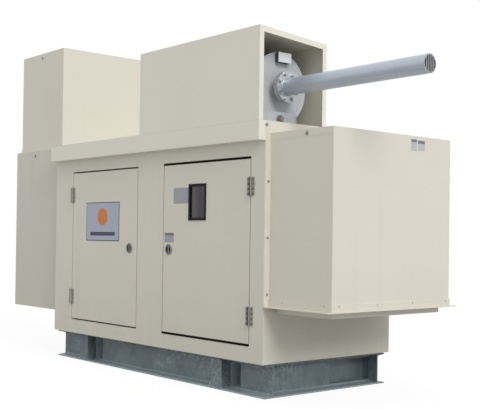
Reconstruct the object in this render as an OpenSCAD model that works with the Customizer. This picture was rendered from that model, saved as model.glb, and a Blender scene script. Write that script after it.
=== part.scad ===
// Enclosed diesel generator set on a galvanised channel base.
// Origin: centre of the anchor bolt pattern, on the underside of the base.
// +X points to the air inlet and exhaust end, -Y to the doors, +Z up.

/* [Enclosure] */
// Length of the enclosure between its end walls
body_len = 2650; // [2400:10:3200]
// Width of the enclosure between its long walls
body_w = 1270; // [1200:2:1530]
// Height of the enclosure above the base
body_h = 1600; // [1500:10:1900]
// Thickness of the painted steel sheet
sheet_t = 3; // [2:0.5:4]
// Depth of the folded frame members of the long walls
frame_d = 50; // [40:1:70]
// Thickness of the acoustic lining
lining_t = 25; // [15:1:40]
// Height of the roof fascia
fascia_h = 130; // [90:5:180]
// How far the fascia stands proud of the long walls
fascia_out = 60; // [20:1:80]

/* [Base] */
// Height of the base channels
base_h = 220; // [180:5:280]
// Width of the channels over their flanges
flange_w = 80; // [66:1:96]
// Thickness of the channel webs
web_t = 9; // [6:0.5:12]
// Thickness of the channel flanges at mid width
flange_t = 12.5; // [9:0.5:15]
// How far the base stands in from the long walls
base_inset_y = 35; // [20:1:60]
// How far the base stands in from the end walls
base_inset_x = 13; // [5:1:60]
// Width of the lifting openings in the side channels
lift_w = 115; // [60:5:150]
// Spacing of the anchor bolts along the base
anchor_x = 2100; // [2060:10:2200]
// Distance of the anchor bolts from the backs of the side channels
anchor_gauge = 45; // [40:1:55]
// Diameter of the anchor bolt holes
anchor_hole_d = 22; // [14:1:28]

/* [Doors] */
// Height of the doors
door_h = 1226; // [1000:2:1300]
// Height of the door sill above the base underside
door_z = 350; // [320:1:420]
// Width of the left door
left_door_w = 938; // [700:2:960]
// Width of the right door
right_door_w = 945; // [700:2:960]
// Hinge edge of the left door, from the middle of the enclosure
left_door_x = 1040; // [1000:1:1100]
// Hinge edge of the right door, from the middle of the enclosure
right_door_x = 1185; // [1120:1:1200]
// Depth of the door pans
door_d = 40; // [30:1:45]
// Gap at the sides of each door
door_gap = 8; // [6:0.5:12]
// Gap above and below each door
door_gap_ends = 12; // [8:0.5:16]
// Length of each door hinge
hinge_len = 125; // [80:1:160]
// Distance of the hinge centres from the ends of the door
hinge_inset = 184; // [120:1:300]
// Width of the window in the right door
window_w = 170; // [120:1:240]
// Height of the window in the right door
window_h = 236; // [160:1:300]

/* [Hoods and duct] */
// How far the air inlet hood stands out from the right end wall
inlet_out = 550; // [400:5:700]
// Height of the top of the inlet hood above the base underside
inlet_top = 1740; // [1600:5:1790]
// Height of the bottom of the inlet hood
inlet_bottom = 606; // [500:1:800]
// How far the lip of the inlet hood sticks out
lip_out = 56; // [40:1:90]
// Height of the upright leg of the lip
lip_up = 45; // [30:1:60]
// Thickness of the lip angle
lip_t = 6; // [4:0.5:8]
// How far the collar hangs below the lip
collar_drop = 40; // [20:1:80]
// How far the outlet hood stands out from the left end wall
outlet_out = 825; // [700:5:1000]
// Height of the bottom of the outlet hood
outlet_bottom = 390; // [320:5:600]
// Inset of both hoods from the long walls
hood_inset = 48; // [30:1:90]
// Length of the hot air duct along the set
duct_len = 735; // [600:5:800]
// Inset of the hot air duct from the sides of the hood
duct_inset = 50; // [30:1:90]
// Height of the hot air duct above the roof
duct_h = 904; // [600:2:1200]

/* [Silencer] */
// Length of the silencer housing
housing_len = 1328; // [1200:2:1500]
// Width of the return frame round the open end of the housing
return_w = 38; // [25:1:60]
// Fall of the housing top from the door side to the far side
housing_fall = 45; // [0:1:60]
// Space between the housing and the sides of the drum
drum_side_gap = 70; // [60:1:120]
// Space between the drum and the housing top on the door side
drum_top_gap = 121; // [115:1:160]
// Diameter of the silencer drum
drum_d = 490; // [400:2:590]
// Length of the silencer drum
drum_len = 900; // [700:5:1000]
// How far the drum end sits back from the open end of the housing
drum_back = 135; // [110:1:250]
// Length of the outlet neck between the drum and its flange
neck_len = 50; // [30:1:60]
// Outer diameter of the tail pipe
pipe_d = 114.3; // [89:0.1:140]
// Wall of the tail pipe
pipe_t = 4.5; // [3:0.1:8]
// How far the tail pipe reaches beyond the open end of the housing
pipe_out = 1095; // [400:5:1500]
// Number of slots in the bird guard of the tail pipe
guard_slots = 6; // [4:1:9]

/* [Machinery] */
// Width of the engine block
block_w = 420; // [360:5:520]
// Height of the engine bearers
bearer_h = 120; // [80:5:160]
// Height of the crankshaft above the enclosure floor
shaft_h = 520; // [460:5:600]
// Diameter of the alternator frame
alt_d = 480; // [400:5:560]
// Diameter of the cooling fan
fan_d = 640; // [500:5:720]

/* [Hidden] */
$fn = 64;
e = 0.01;
paint = [0.86, 0.84, 0.77];
zinc = [0.62, 0.64, 0.65];
dark = [0.16, 0.16, 0.17];

x_end = body_len / 2;
y_wall = body_w / 2;
z_floor = base_h;
z_roof = base_h + body_h;
z_fascia = z_roof - fascia_h;
floor_t = 6;
roof_t = 4;
z_inside = z_floor + floor_t;

// Clearance between seated pieces
seat = 0.3;
weld_gap = 0.3;

// Base
base_x = x_end - base_inset_x;
base_y = y_wall - base_inset_y;
rail_y = base_y - flange_w;
end_x = base_x - flange_w;
flange_slope = 0.08;
root_r = 12.5;
toe_r = 5;
anchor_y = 2 * (rail_y + anchor_gauge);
bay = 2 * end_x / 4;
foot_w = 124;
foot_t = 9;
foot_xs = [-base_x + 415, base_x - 495];
lift_z0 = 30;
lift_z1 = base_h - 30;
pocket_y0 = 92;
pocket_depth = 60;
pocket_t = 5;
floor_inset = 12;
lift_off = 4;

// Walls
panel_gap = 2;
rear_panels = 3;
lining_rim = 60;

// Front wall and doors
door_top = door_z + door_h;
door_lo = door_z - door_gap_ends;
door_hi = door_top + door_gap_ends;
jamb_l = -left_door_x - door_gap;
jamb_r = right_door_x + door_gap;
mid_l = -left_door_x + left_door_w + door_gap;
mid_r = right_door_x - right_door_w - door_gap;
hinge_r = 8;
hinge_off = 0.4;
hinge_y = -y_wall - hinge_r - hinge_off;
leaf_t = 3;
leaf_y = hinge_r + hinge_off - leaf_t;
pin_r = 4;
pin_play = 0.05;
leaf_w = 26;
hinge_zs = [door_z + hinge_inset, door_top - hinge_inset];
latch_z = door_z + door_h / 2 - 5;
latch_l_x = -left_door_x + left_door_w - 98;
latch_r_x = right_door_x - right_door_w + 66;
latch_d = 80;
window_x = right_door_x - right_door_w + 393;
window_z = door_top - 276;
door_back_y = -y_wall + door_d;

// Hoods and duct
hood_y = y_wall - hood_inset;
wall_open_w = 900;
inlet_open_z = [700, 1600];
outlet_open_z = [480, 1560];
lip_x_out = 25;
collar_gap = 30;
duct_ledge = 45;
louvre_drop = 90;
collar_t = 12;
collar_in = 45;
collar_wall = 20;
louvre_count = 6;
louvre_w = 70;
louvre_tilt = 35;
duct_x0 = -x_end - outlet_out + 5;
duct_x1 = duct_x0 + duct_len;
duct_y = hood_y - duct_inset;
z_duct = z_roof + duct_h;

// Silencer
drum_r = drum_d / 2;
seam = 5;
drum_lift = 5;
housing_w = drum_d + 2 * drum_side_gap;
housing_h = drum_lift + drum_d + drum_top_gap;
housing_x0 = x_end - housing_len;
housing_y0 = -y_wall - fascia_out;
housing_y1 = housing_y0 + housing_w;
axis_y = (housing_y0 + housing_y1) / 2;
axis_z = z_roof + drum_lift + drum_r;
drum_x1 = x_end - drum_back;
drum_x0 = drum_x1 - drum_len;
bracket_w = 114;
bracket_h = 62;
bracket_out = 28;
bracket_y = axis_y + 16;
bracket_z = axis_z + drum_r - 69;
inlet_neck_h = 80;
foot_half = 158;
foot_len = 70;
foot_rise = 90;
foot_plate = 6;
saddle_x = drum_x0 + 330;
gasket_t = 3;
pipe_flange_t = 16;
pipe_flange_pcd = pipe_d + 60.7;
pipe_flange_d = pipe_flange_pcd + 35;
bolt_count = 8;
bolt_d = 16;
bolt_across = 27;
joint_x = drum_x1 + neck_len + pipe_flange_t;
pipe_x0 = joint_x + gasket_t;
pipe_x1 = x_end + pipe_out;
riser_x = drum_x0 + 100;
riser_offset = 65;
riser_flange = 30;
riser_room = 10;
panel_d = 140;
panel_stand = 16;
panel_back_y = -y_wall + frame_d + panel_stand + panel_d;
riser_y = max(axis_y + riser_offset, panel_back_y + riser_room + pipe_d / 2 + riser_flange);
z_riser = z_roof + 2;
riser_hole_d = pipe_d + 36;
collar_h = 6;
guard_ring_t = 3;
guard_depth = 25;
guard_bar = 6;

// Machinery: everything stands on the bearers, lined up along the shaft
mount_h = 40;
bearer_y = 200;
bearer_w = 90;
bearer_z = z_inside + mount_h;
bed_z = bearer_z + bearer_h;
shaft_z = z_inside + shaft_h;
radiator_x = -x_end + 195;
fan_x = radiator_x + 72;
fan_z = shaft_z + 260;
cylinders = 6;
bore_pitch = 152;
engine_x0 = fan_x + 238;
engine_x1 = engine_x0 + cylinders * bore_pitch + 58;
block_top = shaft_z + 330;
head_h = 110;
head_w = 240;
flywheel_x1 = engine_x1 + 110;
alt_x1 = engine_x1 + 850;
manifold_x1 = engine_x1 + 20;
sump_h = 130;
fan_hub = 31.7;
panel_w = 420;
panel_h = 520;
manifold_z = block_top + head_h / 2;

// ---- shared shapes ----

// Folded sheet pan: skin on the low-Y face, returns going back, open behind.
module pan_y(x0, x1, z0, z1, y0, depth, t = sheet_t) {
    difference() {
        translate([x0, y0, z0]) cube([x1 - x0, depth, z1 - z0]);
        translate([x0 + t, y0 + t, z0 + t]) cube([x1 - x0 - 2 * t, depth, z1 - z0 - 2 * t]);
    }
}

module box_between(a, b) {
    translate(a) cube(b - a);
}

module rod_x(x0, x1, d) {
    translate([x0, 0, 0]) rotate([0, 90, 0]) cylinder(d = d, h = x1 - x0);
}

module rod_y(y0, y1, d) {
    translate([0, y1, 0]) rotate([90, 0, 0]) cylinder(d = d, h = y1 - y0);
}

// Draws a section, given as width and height, along X from x0 to x1.
module along_x(x0, x1) {
    translate([x0, 0, 0]) rotate([90, 0, 90]) linear_extrude(x1 - x0) children();
}

// ---- base ----

// Height of the inner face of the bottom flange, at distance x from the back of the web.
function flange_at(x) = flange_t + flange_slope * (flange_w / 2 - x);

// Half of a rolled channel section: back of the web on X = 0, toe at X = flange_w.
module half_channel() {
    lean = sqrt(1 + flange_slope * flange_slope);
    root_x = web_t + root_r;
    root_y = flange_at(root_x) + root_r * lean;
    root_low = [root_x - root_r * flange_slope / lean, root_y - root_r / lean];
    toe_x = flange_w - toe_r;
    toe_y = flange_at(toe_x) - toe_r * lean;
    toe_high = [toe_x + toe_r * flange_slope / lean, toe_y + toe_r / lean];
    difference() {
        polygon([[0, 0], [flange_w, 0], [flange_w, flange_at(flange_w)], [web_t, flange_at(web_t)],
            [web_t, base_h / 2 + e], [0, base_h / 2 + e]]);
        difference() {
            polygon([[toe_x, toe_y], toe_high, toe_high + [0, 2], [flange_w + 1, toe_high.y + 2],
                [flange_w + 1, toe_y]]);
            translate([toe_x, toe_y]) circle(r = toe_r);
        }
    }
    difference() {
        polygon([[root_x, root_y], root_low, root_low - [0, 2], [web_t - 2, root_low.y - 2], [web_t - 2, root_y]]);
        translate([root_x, root_y]) circle(r = root_r);
    }
}

module channel(length) {
    along_x(-length / 2, length / 2) {
        half_channel();
        translate([0, base_h]) mirror([0, 1]) half_channel();
    }
}

// A side channel runs the full length, with a lifting opening beside each foot.
module side_channel() {
    difference() {
        translate([0, rail_y, 0]) channel(2 * base_x);
        for (x = foot_xs)
            translate([x + foot_w / 2 + lift_off, rail_y - 1, lift_z0]) cube([lift_w, web_t + 2, lift_z1 - lift_z0]);
        for (s = [-1, 1])
            translate([s * anchor_x / 2, anchor_y / 2, -1]) cylinder(d = anchor_hole_d, h = 2 * flange_t);
    }
}

// Channel that stands between the side channels with its toes toward +X.
module cross_channel() {
    rotate([0, 0, -90]) channel(2 * (rail_y - weld_gap));
}

module base_frame() {
    color(zinc) {
        for (s = [0, 1]) mirror([0, s, 0]) side_channel();
        mirror([1, 0, 0]) translate([end_x, 0, 0]) cross_channel();
        difference() {
            translate([end_x, 0, 0]) cross_channel();
            box_between([end_x - 1, pocket_y0, lift_z0], [end_x + web_t + 1, rail_y - pocket_t, lift_z1]);
        }
        for (i = [-1 : 1]) translate([i * bay, 0, 0]) cross_channel();
    }
}

// Box foot that fills the channel: a plate flush with the toes and a gusset at each side.
module box_foot() {
    cope = root_r + 2;
    low = [[web_t + seat, flange_at(web_t) + cope], [web_t + cope, flange_at(web_t + cope) + seat],
        [flange_w, flange_at(flange_w) + seat]];
    difference() {
        along_x(-foot_w / 2, foot_w / 2)
            polygon([low[0], low[1], low[2], [low[2].x, base_h - low[2].y],
                [low[1].x, base_h - low[1].y], [low[0].x, base_h - low[0].y]]);
        box_between([-foot_w / 2 + foot_t, 0, 0], [foot_w / 2 - foot_t, flange_w - foot_t, base_h]);
    }
}

// Pan behind the end web that closes off the cable pocket.
module cable_pocket() {
    t = pocket_t;
    x0 = end_x - pocket_depth;
    difference() {
        box_between([x0, pocket_y0 - t, lift_z0 - 2 * t], [end_x - weld_gap, rail_y - weld_gap, lift_z1 + 2 * t]);
        box_between([x0 + t, pocket_y0, lift_z0 - t], [end_x, rail_y, lift_z1 + t]);
    }
}

module base_gussets() {
    color(zinc) {
        for (s = [0, 1], x = foot_xs) mirror([0, s, 0]) translate([x, rail_y, 0]) box_foot();
        cable_pocket();
    }
}

module floor_plate() {
    x = base_x - floor_inset;
    y = base_y - floor_inset;
    color(zinc) box_between([-x, -y, z_floor], [x, y, z_inside]);
}

// ---- enclosure walls ----

module front_sill() {
    color(paint) pan_y(-x_end, x_end, z_inside, door_lo, -y_wall, frame_d);
}

module front_header() {
    color(paint) pan_y(-x_end, x_end, door_hi, z_roof - roof_t, -y_wall, frame_d);
}

module front_post(x0, x1) {
    color(paint) pan_y(x0, x1, door_lo, door_hi, -y_wall, frame_d);
}

module front_post_left() {
    front_post(-x_end, jamb_l);
}

module front_post_mid() {
    front_post(mid_l, mid_r);
}

module front_post_right() {
    front_post(jamb_r, x_end);
}

module rear_wall() {
    pitch = floor((body_len + panel_gap) / rear_panels);
    color(paint) for (i = [0 : rear_panels - 1]) {
        x0 = -x_end + i * pitch;
        x1 = i == rear_panels - 1 ? x_end : x0 + pitch - panel_gap;
        mirror([0, 1, 0]) pan_y(x0, x1, z_inside, z_roof - roof_t, -y_wall, frame_d);
    }
}

// An end wall closes between the long walls and has one air opening.
module end_wall(open_z) {
    y_in = y_wall - frame_d;
    y_open = wall_open_w / 2;
    x_lining = x_end - sheet_t - lining_t;
    color(paint) difference() {
        union() {
            box_between([x_end - sheet_t, -y_in, z_inside], [x_end, y_in, z_roof - roof_t]);
            box_between([x_end - frame_d, -y_in, z_inside], [x_end, y_in, z_inside + sheet_t]);
            box_between([x_lining, -y_open - lining_rim, open_z[0] - lining_rim],
                [x_end - sheet_t + e, y_open + lining_rim, open_z[1] + lining_rim]);
        }
        box_between([x_lining - 1, -y_open, open_z[0]], [x_end + 1, y_open, open_z[1]]);
    }
}

module end_wall_right() {
    end_wall(inlet_open_z);
}

module end_wall_left() {
    mirror([1, 0, 0]) end_wall(outlet_open_z);
}

module roof_plate() {
    color(paint) difference() {
        box_between([-x_end, -y_wall - fascia_out, z_roof - roof_t], [x_end, y_wall + fascia_out, z_roof]);
        translate([riser_x, riser_y, z_roof - roof_t - 1]) cylinder(d = riser_hole_d, h = roof_t + 2);
    }
}

// The fascia is a folded gutter section hung under the edge of the roof.
module roof_fascia() {
    color(paint) for (s = [0, 1]) mirror([0, s, 0]) difference() {
        box_between([-x_end, -y_wall - fascia_out, z_fascia], [x_end, -y_wall, z_roof - roof_t]);
        box_between([-x_end + sheet_t, -y_wall - fascia_out + sheet_t, z_fascia + sheet_t],
            [x_end - sheet_t, -y_wall + 1, z_roof - roof_t - sheet_t]);
    }
}

// ---- hoods and duct ----

module inlet_hood() {
    t = sheet_t;
    strip = hood_inset - 3;
    x1 = x_end + inlet_out;
    color(paint) {
        difference() {
            box_between([x_end, -hood_y, inlet_bottom], [x1, hood_y, inlet_top]);
            box_between([x_end - 1, -hood_y + t, inlet_bottom - 1], [x1 - t, hood_y - t, inlet_top - t]);
        }
        // mounting strips that lie on the end wall
        for (s = [-1, 1])
            translate([x_end, s > 0 ? hood_y - e : -hood_y - strip + e, inlet_bottom])
                cube([t, strip, inlet_top - inlet_bottom]);
        box_between([x_end, -hood_y - strip, inlet_top - e], [x_end + t, hood_y + strip, inlet_top + strip]);
    }
}

// Angle iron lip that runs round three sides of the inlet mouth.
module inlet_lip() {
    x1 = x_end + inlet_out;
    z0 = inlet_bottom - lip_t;
    color(paint) difference() {
        union() {
            box_between([x_end, -hood_y - lip_out, z0], [x1 + lip_x_out, hood_y + lip_out, inlet_bottom]);
            box_between([x_end + sheet_t, -hood_y - lip_t, inlet_bottom - e],
                [x1 + lip_t, hood_y + lip_t, inlet_bottom + lip_up]);
        }
        box_between([x_end - 1, -hood_y, z0 - 1], [x1, hood_y, inlet_bottom + lip_up + 1]);
    }
}

// Collar that hangs in the inlet mouth from a plate across the inside of the hood.
module inlet_collar() {
    x0 = x_end + collar_gap;
    x1 = x_end + inlet_out - sheet_t;
    y1 = hood_y - sheet_t;
    z0 = inlet_bottom - lip_t - collar_drop;
    z1 = inlet_bottom + collar_t;
    hole = collar_in + collar_wall;
    color(paint) difference() {
        union() {
            box_between([x0, -y1 + collar_in, z0], [x1 - collar_in, y1 - collar_in, z1]);
            box_between([x0, -y1, inlet_bottom], [x1, y1, z1]);
        }
        box_between([x0 + collar_wall, -y1 + hole, z0 - 1], [x1 - hole, y1 - hole, z1 + 1]);
    }
}

module outlet_hood() {
    t = sheet_t;
    x0 = -x_end - outlet_out;
    color(paint) difference() {
        box_between([x0, -hood_y, outlet_bottom], [-x_end, hood_y, z_roof]);
        box_between([x0 + t, -hood_y + t, outlet_bottom + t], [-x_end + 1, hood_y - t, z_roof - t]);
        box_between([duct_x0 + duct_ledge, -duct_y + duct_ledge, z_roof - t - 1],
            [duct_x1 - duct_ledge, duct_y - duct_ledge, z_roof + 1]);
    }
}

module hot_air_duct() {
    t = sheet_t;
    strip_h = 38;
    strip_out = 4;
    color(paint) difference() {
        union() {
            box_between([duct_x0, -duct_y, z_roof], [duct_x1, duct_y, z_duct]);
            box_between([duct_x0 - strip_out, -duct_y - strip_out, z_roof],
                [duct_x1 + strip_out, duct_y + strip_out, z_roof + strip_h]);
        }
        box_between([duct_x0 + t, -duct_y + t, z_roof - 1], [duct_x1 - t, duct_y - t, z_duct + 1]);
    }
}

// Rain louvre blades across the mouth of the duct.
module duct_louvres() {
    pitch = duct_len / (louvre_count + 1);
    half = duct_y - sheet_t - seat;
    color(paint) for (i = [1 : louvre_count])
        translate([duct_x0 + i * pitch - louvre_w / 4, -half, z_duct - louvre_drop])
            rotate([0, louvre_tilt, 0]) cube([sheet_t, 2 * half, louvre_w]);
}

// ---- silencer ----

// Height of the top of the housing, which falls toward the middle of the set.
function housing_z(y) = z_roof + housing_h - housing_fall * (y - housing_y0) / housing_w;

// Section of the housing, drawn in by side at the sides and by top at the top.
module housing_section(side, top, below) {
    ya = housing_y0 + side;
    yb = housing_y1 - side;
    polygon([[ya, z_roof - below], [yb, z_roof - below], [yb, housing_z(yb) - top], [ya, housing_z(ya) - top]]);
}

module silencer_housing() {
    t = sheet_t;
    color(paint) difference() {
        along_x(housing_x0, x_end) housing_section(0, 0, 0);
        along_x(housing_x0 + t, x_end - t) housing_section(t, t, 1);
        along_x(x_end - t - 1, x_end + 1) housing_section(return_w, return_w, 1);
    }
}

// Drum with rolled seams, two dished ends, inlet neck below and outlet neck at the end.
module silencer() {
    r = drum_r;
    rim = r - seam - 1;
    crown = r - 14;
    bore = pipe_d - 2 * pipe_t;
    color(zinc) difference() {
        union() {
            translate([drum_x0, axis_y, axis_z]) rotate([0, 90, 0]) rotate_extrude()
                polygon([[0, 14], [r * 0.55, 11], [crown, 8], [rim, 0], [r, 0], [r, 16], [r - seam, 20],
                    [r - seam, drum_len - 20], [r, drum_len - 16], [r, drum_len], [rim, drum_len],
                    [crown, drum_len - 5], [r * 0.5, drum_len - 7], [0, drum_len - 8]]);
            translate([0, axis_y, axis_z]) rod_x(drum_x1 - 30, joint_x - pipe_flange_t, pipe_d);
            translate([riser_x, riser_y, z_riser]) cylinder(d = pipe_d, h = inlet_neck_h);
            // box bracket at the top of the outlet end
            translate([drum_x1 - 10, bracket_y - bracket_w / 2, bracket_z])
                cube([bracket_out + 10, bracket_w, bracket_h]);
        }
        translate([0, axis_y, axis_z]) rod_x(drum_x1 - 60, joint_x, bore);
        translate([riser_x, riser_y, z_riser - 1]) cylinder(d = bore, h = inlet_neck_h);
    }
}

// Cradle plates: one stands against the outlet end of the drum, one carries it from below.
module silencer_feet() {
    y0 = axis_y - foot_half;
    y1 = axis_y + foot_half;
    z_sole = z_roof + foot_plate;
    end_foot = drum_x1 + seat;
    color(zinc) {
        box_between([end_foot, y0, z_roof], [end_foot + foot_plate, y1, z_roof + foot_rise]);
        box_between([end_foot + foot_plate - e, y0, z_roof], [end_foot + foot_len, y1, z_sole]);
        difference() {
            box_between([saddle_x, y0, z_roof], [saddle_x + foot_plate, y1, z_roof + foot_rise]);
            translate([0, axis_y, axis_z]) rod_x(saddle_x - 1, saddle_x + foot_plate + 1, 2 * (drum_r - seam + seat));
        }
        box_between([saddle_x + foot_plate - e, y0, z_roof], [saddle_x + foot_len, y1, z_sole]);
    }
}

module round_bolts() {
    for (i = [0 : bolt_count - 1]) rotate((i + 0.5) * 360 / bolt_count) translate([pipe_flange_pcd / 2, 0, 0])
        children();
}

module pipe_flange(x0) {
    translate([x0, axis_y, axis_z]) rotate([0, 90, 0]) difference() {
        cylinder(d = pipe_flange_d, h = pipe_flange_t);
        translate([0, 0, -1]) cylinder(d = pipe_d - 2 * pipe_t, h = pipe_flange_t + 2);
        round_bolts() translate([0, 0, -1]) cylinder(d = bolt_d + 3, h = pipe_flange_t + 2);
    }
}

module outlet_flanges() {
    color(zinc) pipe_flange(joint_x - pipe_flange_t);
    color(zinc) pipe_flange(pipe_x0);
    color(dark) translate([joint_x, axis_y, axis_z]) rotate([0, 90, 0]) difference() {
        cylinder(d = pipe_flange_pcd - bolt_d - 6, h = gasket_t);
        translate([0, 0, -1]) cylinder(d = pipe_d - 2 * pipe_t, h = gasket_t + 2);
    }
}

// Hexagon bolts and nuts of the flange pair.
module flange_bolts() {
    span = 2 * pipe_flange_t + gasket_t;
    bolt_head = 10;
    nut = 13;
    end = 6;
    color(zinc) translate([joint_x - pipe_flange_t, axis_y, axis_z]) rotate([0, 90, 0]) round_bolts() {
        translate([0, 0, -bolt_head]) cylinder(d = bolt_across, h = bolt_head, $fn = 6);
        translate([0, 0, -1]) cylinder(d = bolt_d, h = span + nut + end);
        translate([0, 0, span]) cylinder(d = bolt_across, h = nut, $fn = 6);
    }
}

module tail_pipe() {
    color(zinc) translate([0, axis_y, axis_z]) difference() {
        rod_x(pipe_x0 + pipe_flange_t, pipe_x1, pipe_d);
        rod_x(pipe_x0, pipe_x1 + 1, pipe_d - 2 * pipe_t);
    }
}

// Bird guard in the mouth of the tail pipe: a ring with flat bars across it.
module pipe_guard() {
    inner = pipe_d - 2 * pipe_t;
    ring_in = inner - 2 * guard_ring_t;
    pitch = inner / guard_slots;
    color(zinc) translate([0, axis_y, axis_z]) {
        difference() {
            rod_x(pipe_x1 - guard_depth, pipe_x1, inner - 0.4);
            rod_x(pipe_x1 - guard_depth - 1, pipe_x1 + 1, ring_in);
        }
        intersection() {
            rod_x(pipe_x1 - guard_bar, pipe_x1, ring_in - 2 * seat);
            for (i = [1 : guard_slots - 1])
                translate([pipe_x1 - guard_bar - 1, (i - guard_slots / 2) * pitch - guard_bar / 2, -inner / 2])
                    cube([guard_bar + 2, guard_bar, inner]);
        }
    }
}

// Riser from the manifold through the roof, with a corrugated bellows.
module exhaust_riser() {
    r = pipe_d / 2;
    bellows_h = 150;
    waves = 7;
    z0 = manifold_z;
    zb = z0 + 240;
    pitch = bellows_h / waves;
    flange_h = 14;
    color(zinc) translate([riser_x, riser_y, 0]) difference() {
        union() {
            translate([0, 0, z0]) sphere(r = r);
            translate([0, 0, z0]) rod_x(manifold_x1 + seat - riser_x, 0, pipe_d);
            translate([0, 0, z0]) cylinder(r = r, h = z_riser - z0);
            translate([0, 0, zb]) rotate_extrude() for (i = [0 : waves - 1])
                translate([r, (i + 0.5) * pitch]) circle(r = pitch * 0.42, $fn = 16);
            for (z = [zb - flange_h - 6, zb + bellows_h + 6]) translate([0, 0, z]) cylinder(r = r + riser_flange, h = flange_h);
            translate([0, 0, z_roof - roof_t - collar_h]) cylinder(d = riser_hole_d + 50, h = collar_h);
        }
        translate([0, 0, z0]) cylinder(r = r - pipe_t, h = z_riser - z0 + 1);
        translate([0, 0, z0]) rod_x(manifold_x1 - riser_x, 0, pipe_d - 2 * pipe_t);
        translate([0, 0, z0]) sphere(r = r - pipe_t);
    }
}

// ---- doors ----

module door_pan(x0, x1) {
    pan_y(x0, x1, door_z, door_top, -y_wall, door_d);
}

module door_lining(x0, x1) {
    m = sheet_t + 0.3;
    box_between([x0 + m, -y_wall + m, door_z + m], [x1 - m, door_back_y - 6, door_top - m]);
}

module door_left() {
    color(paint) difference() {
        door_pan(-left_door_x, -left_door_x + left_door_w);
        latch_hole(latch_l_x);
    }
}

module door_left_lining() {
    color(dark) difference() {
        door_lining(-left_door_x, -left_door_x + left_door_w);
        latch_pocket(latch_l_x);
    }
}

module door_right() {
    color(paint) difference() {
        door_pan(right_door_x - right_door_w, right_door_x);
        latch_hole(latch_r_x);
        translate([window_x, -y_wall, window_z]) cube([window_w, 4 * sheet_t, window_h], center = true);
    }
}

module door_right_lining() {
    color(dark) difference() {
        door_lining(right_door_x - right_door_w, right_door_x);
        latch_pocket(latch_r_x);
        translate([window_x, -y_wall + door_d / 2, window_z])
            cube([window_w + 60, 3 * door_d, window_h + 60], center = true);
    }
}

module latch_hole(x) {
    translate([x, -y_wall - 1, latch_z]) rotate([-90, 0, 0]) cylinder(d = latch_d - 16, h = sheet_t + 2);
}

module latch_pocket(x) {
    translate([x, -y_wall - 1, latch_z]) rotate([-90, 0, 0]) cylinder(d = latch_d + 4, h = door_d + 2);
}

// Round recessed latch: raised rim, dished cup, folding grip and a cam behind.
module latch(x) {
    r = latch_d / 2;
    color(zinc) translate([x, -y_wall, latch_z]) rotate([90, 0, 0]) {
        difference() {
            union() {
                rotate_extrude() polygon([[0, 0], [r, 0], [r, 3], [r - 3, 6], [0, 6]]);
                translate([0, 0, -22]) cylinder(r = r - 8.2, h = 22 + e);
            }
            translate([0, 0, -14]) cylinder(r = r - 12, h = 30);
        }
        translate([0, 0, -16]) cylinder(d = 18, h = 18);
        translate([-5, -r + 14, -4]) cube([10, 2 * r - 28, 8]);
        translate([0, 0, -30]) cylinder(d = 14, h = 12);
        translate([-10, -34, -33]) cube([20, 48, 4]);
    }
}

module door_left_latch() {
    latch(latch_l_x);
}

module door_right_latch() {
    latch(latch_r_x);
}

// One hinge is five knuckles on a pin: three on the post leaf, two on the door leaf.
module knuckles(first) {
    n = 5;
    k = hinge_len / n;
    for (i = [first : 2 : n - 1]) translate([0, 0, -hinge_len / 2 + i * k + 0.3]) difference() {
        union() {
            cylinder(r = hinge_r, h = k - 0.6);
            translate([0, leaf_y, 0]) cube([leaf_w, leaf_t, k - 0.6]);
        }
        translate([0, 0, -1]) cylinder(r = pin_r + pin_play, h = k + 2);
    }
}

module hinge_leaf(first) {
    knuckles(first);
    translate([hinge_r + 2, leaf_y, -hinge_len / 2]) cube([leaf_w, leaf_t, hinge_len]);
}

module hinge_pin() {
    translate([0, 0, -hinge_len / 2 - 3]) cylinder(r = pin_r, h = hinge_len + 6);
    for (s = [-1, 1]) translate([0, 0, s * (hinge_len / 2 + 2) - 2]) cylinder(r = pin_r + 2.5, h = 4);
}

module door_left_hinges() {
    color(dark) for (z = hinge_zs) translate([jamb_l, hinge_y, z]) hinge_leaf(1);
}

module door_right_hinges() {
    color(dark) for (z = hinge_zs) translate([jamb_r, hinge_y, z]) mirror([1, 0, 0]) hinge_leaf(1);
}

module fixed_hinges() {
    color(dark) for (z = hinge_zs) {
        translate([jamb_l, hinge_y, z]) {
            mirror([1, 0, 0]) hinge_leaf(0);
            hinge_pin();
        }
        translate([jamb_r, hinge_y, z]) {
            hinge_leaf(0);
            hinge_pin();
        }
    }
}

module window_frame() {
    rim = 14;
    color(dark) translate([window_x, -y_wall, window_z]) difference() {
        union() {
            translate([0, -2.5, 0]) cube([window_w + 2 * rim - 4, 5, window_h + 2 * rim - 4], center = true);
            translate([0, 6, 0]) cube([window_w - 0.6, 12 + e, window_h - 0.6], center = true);
        }
        cube([window_w - 12, 60, window_h - 12], center = true);
        translate([0, 7, 0]) cube([window_w - 6, 6.2, window_h - 6], center = true);
    }
}

module window_glass() {
    color([0.2, 0.22, 0.24]) translate([window_x, -y_wall + 7, window_z])
        cube([window_w - 6.6, 5, window_h - 6.6], center = true);
}

// ---- machinery ----

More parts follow.
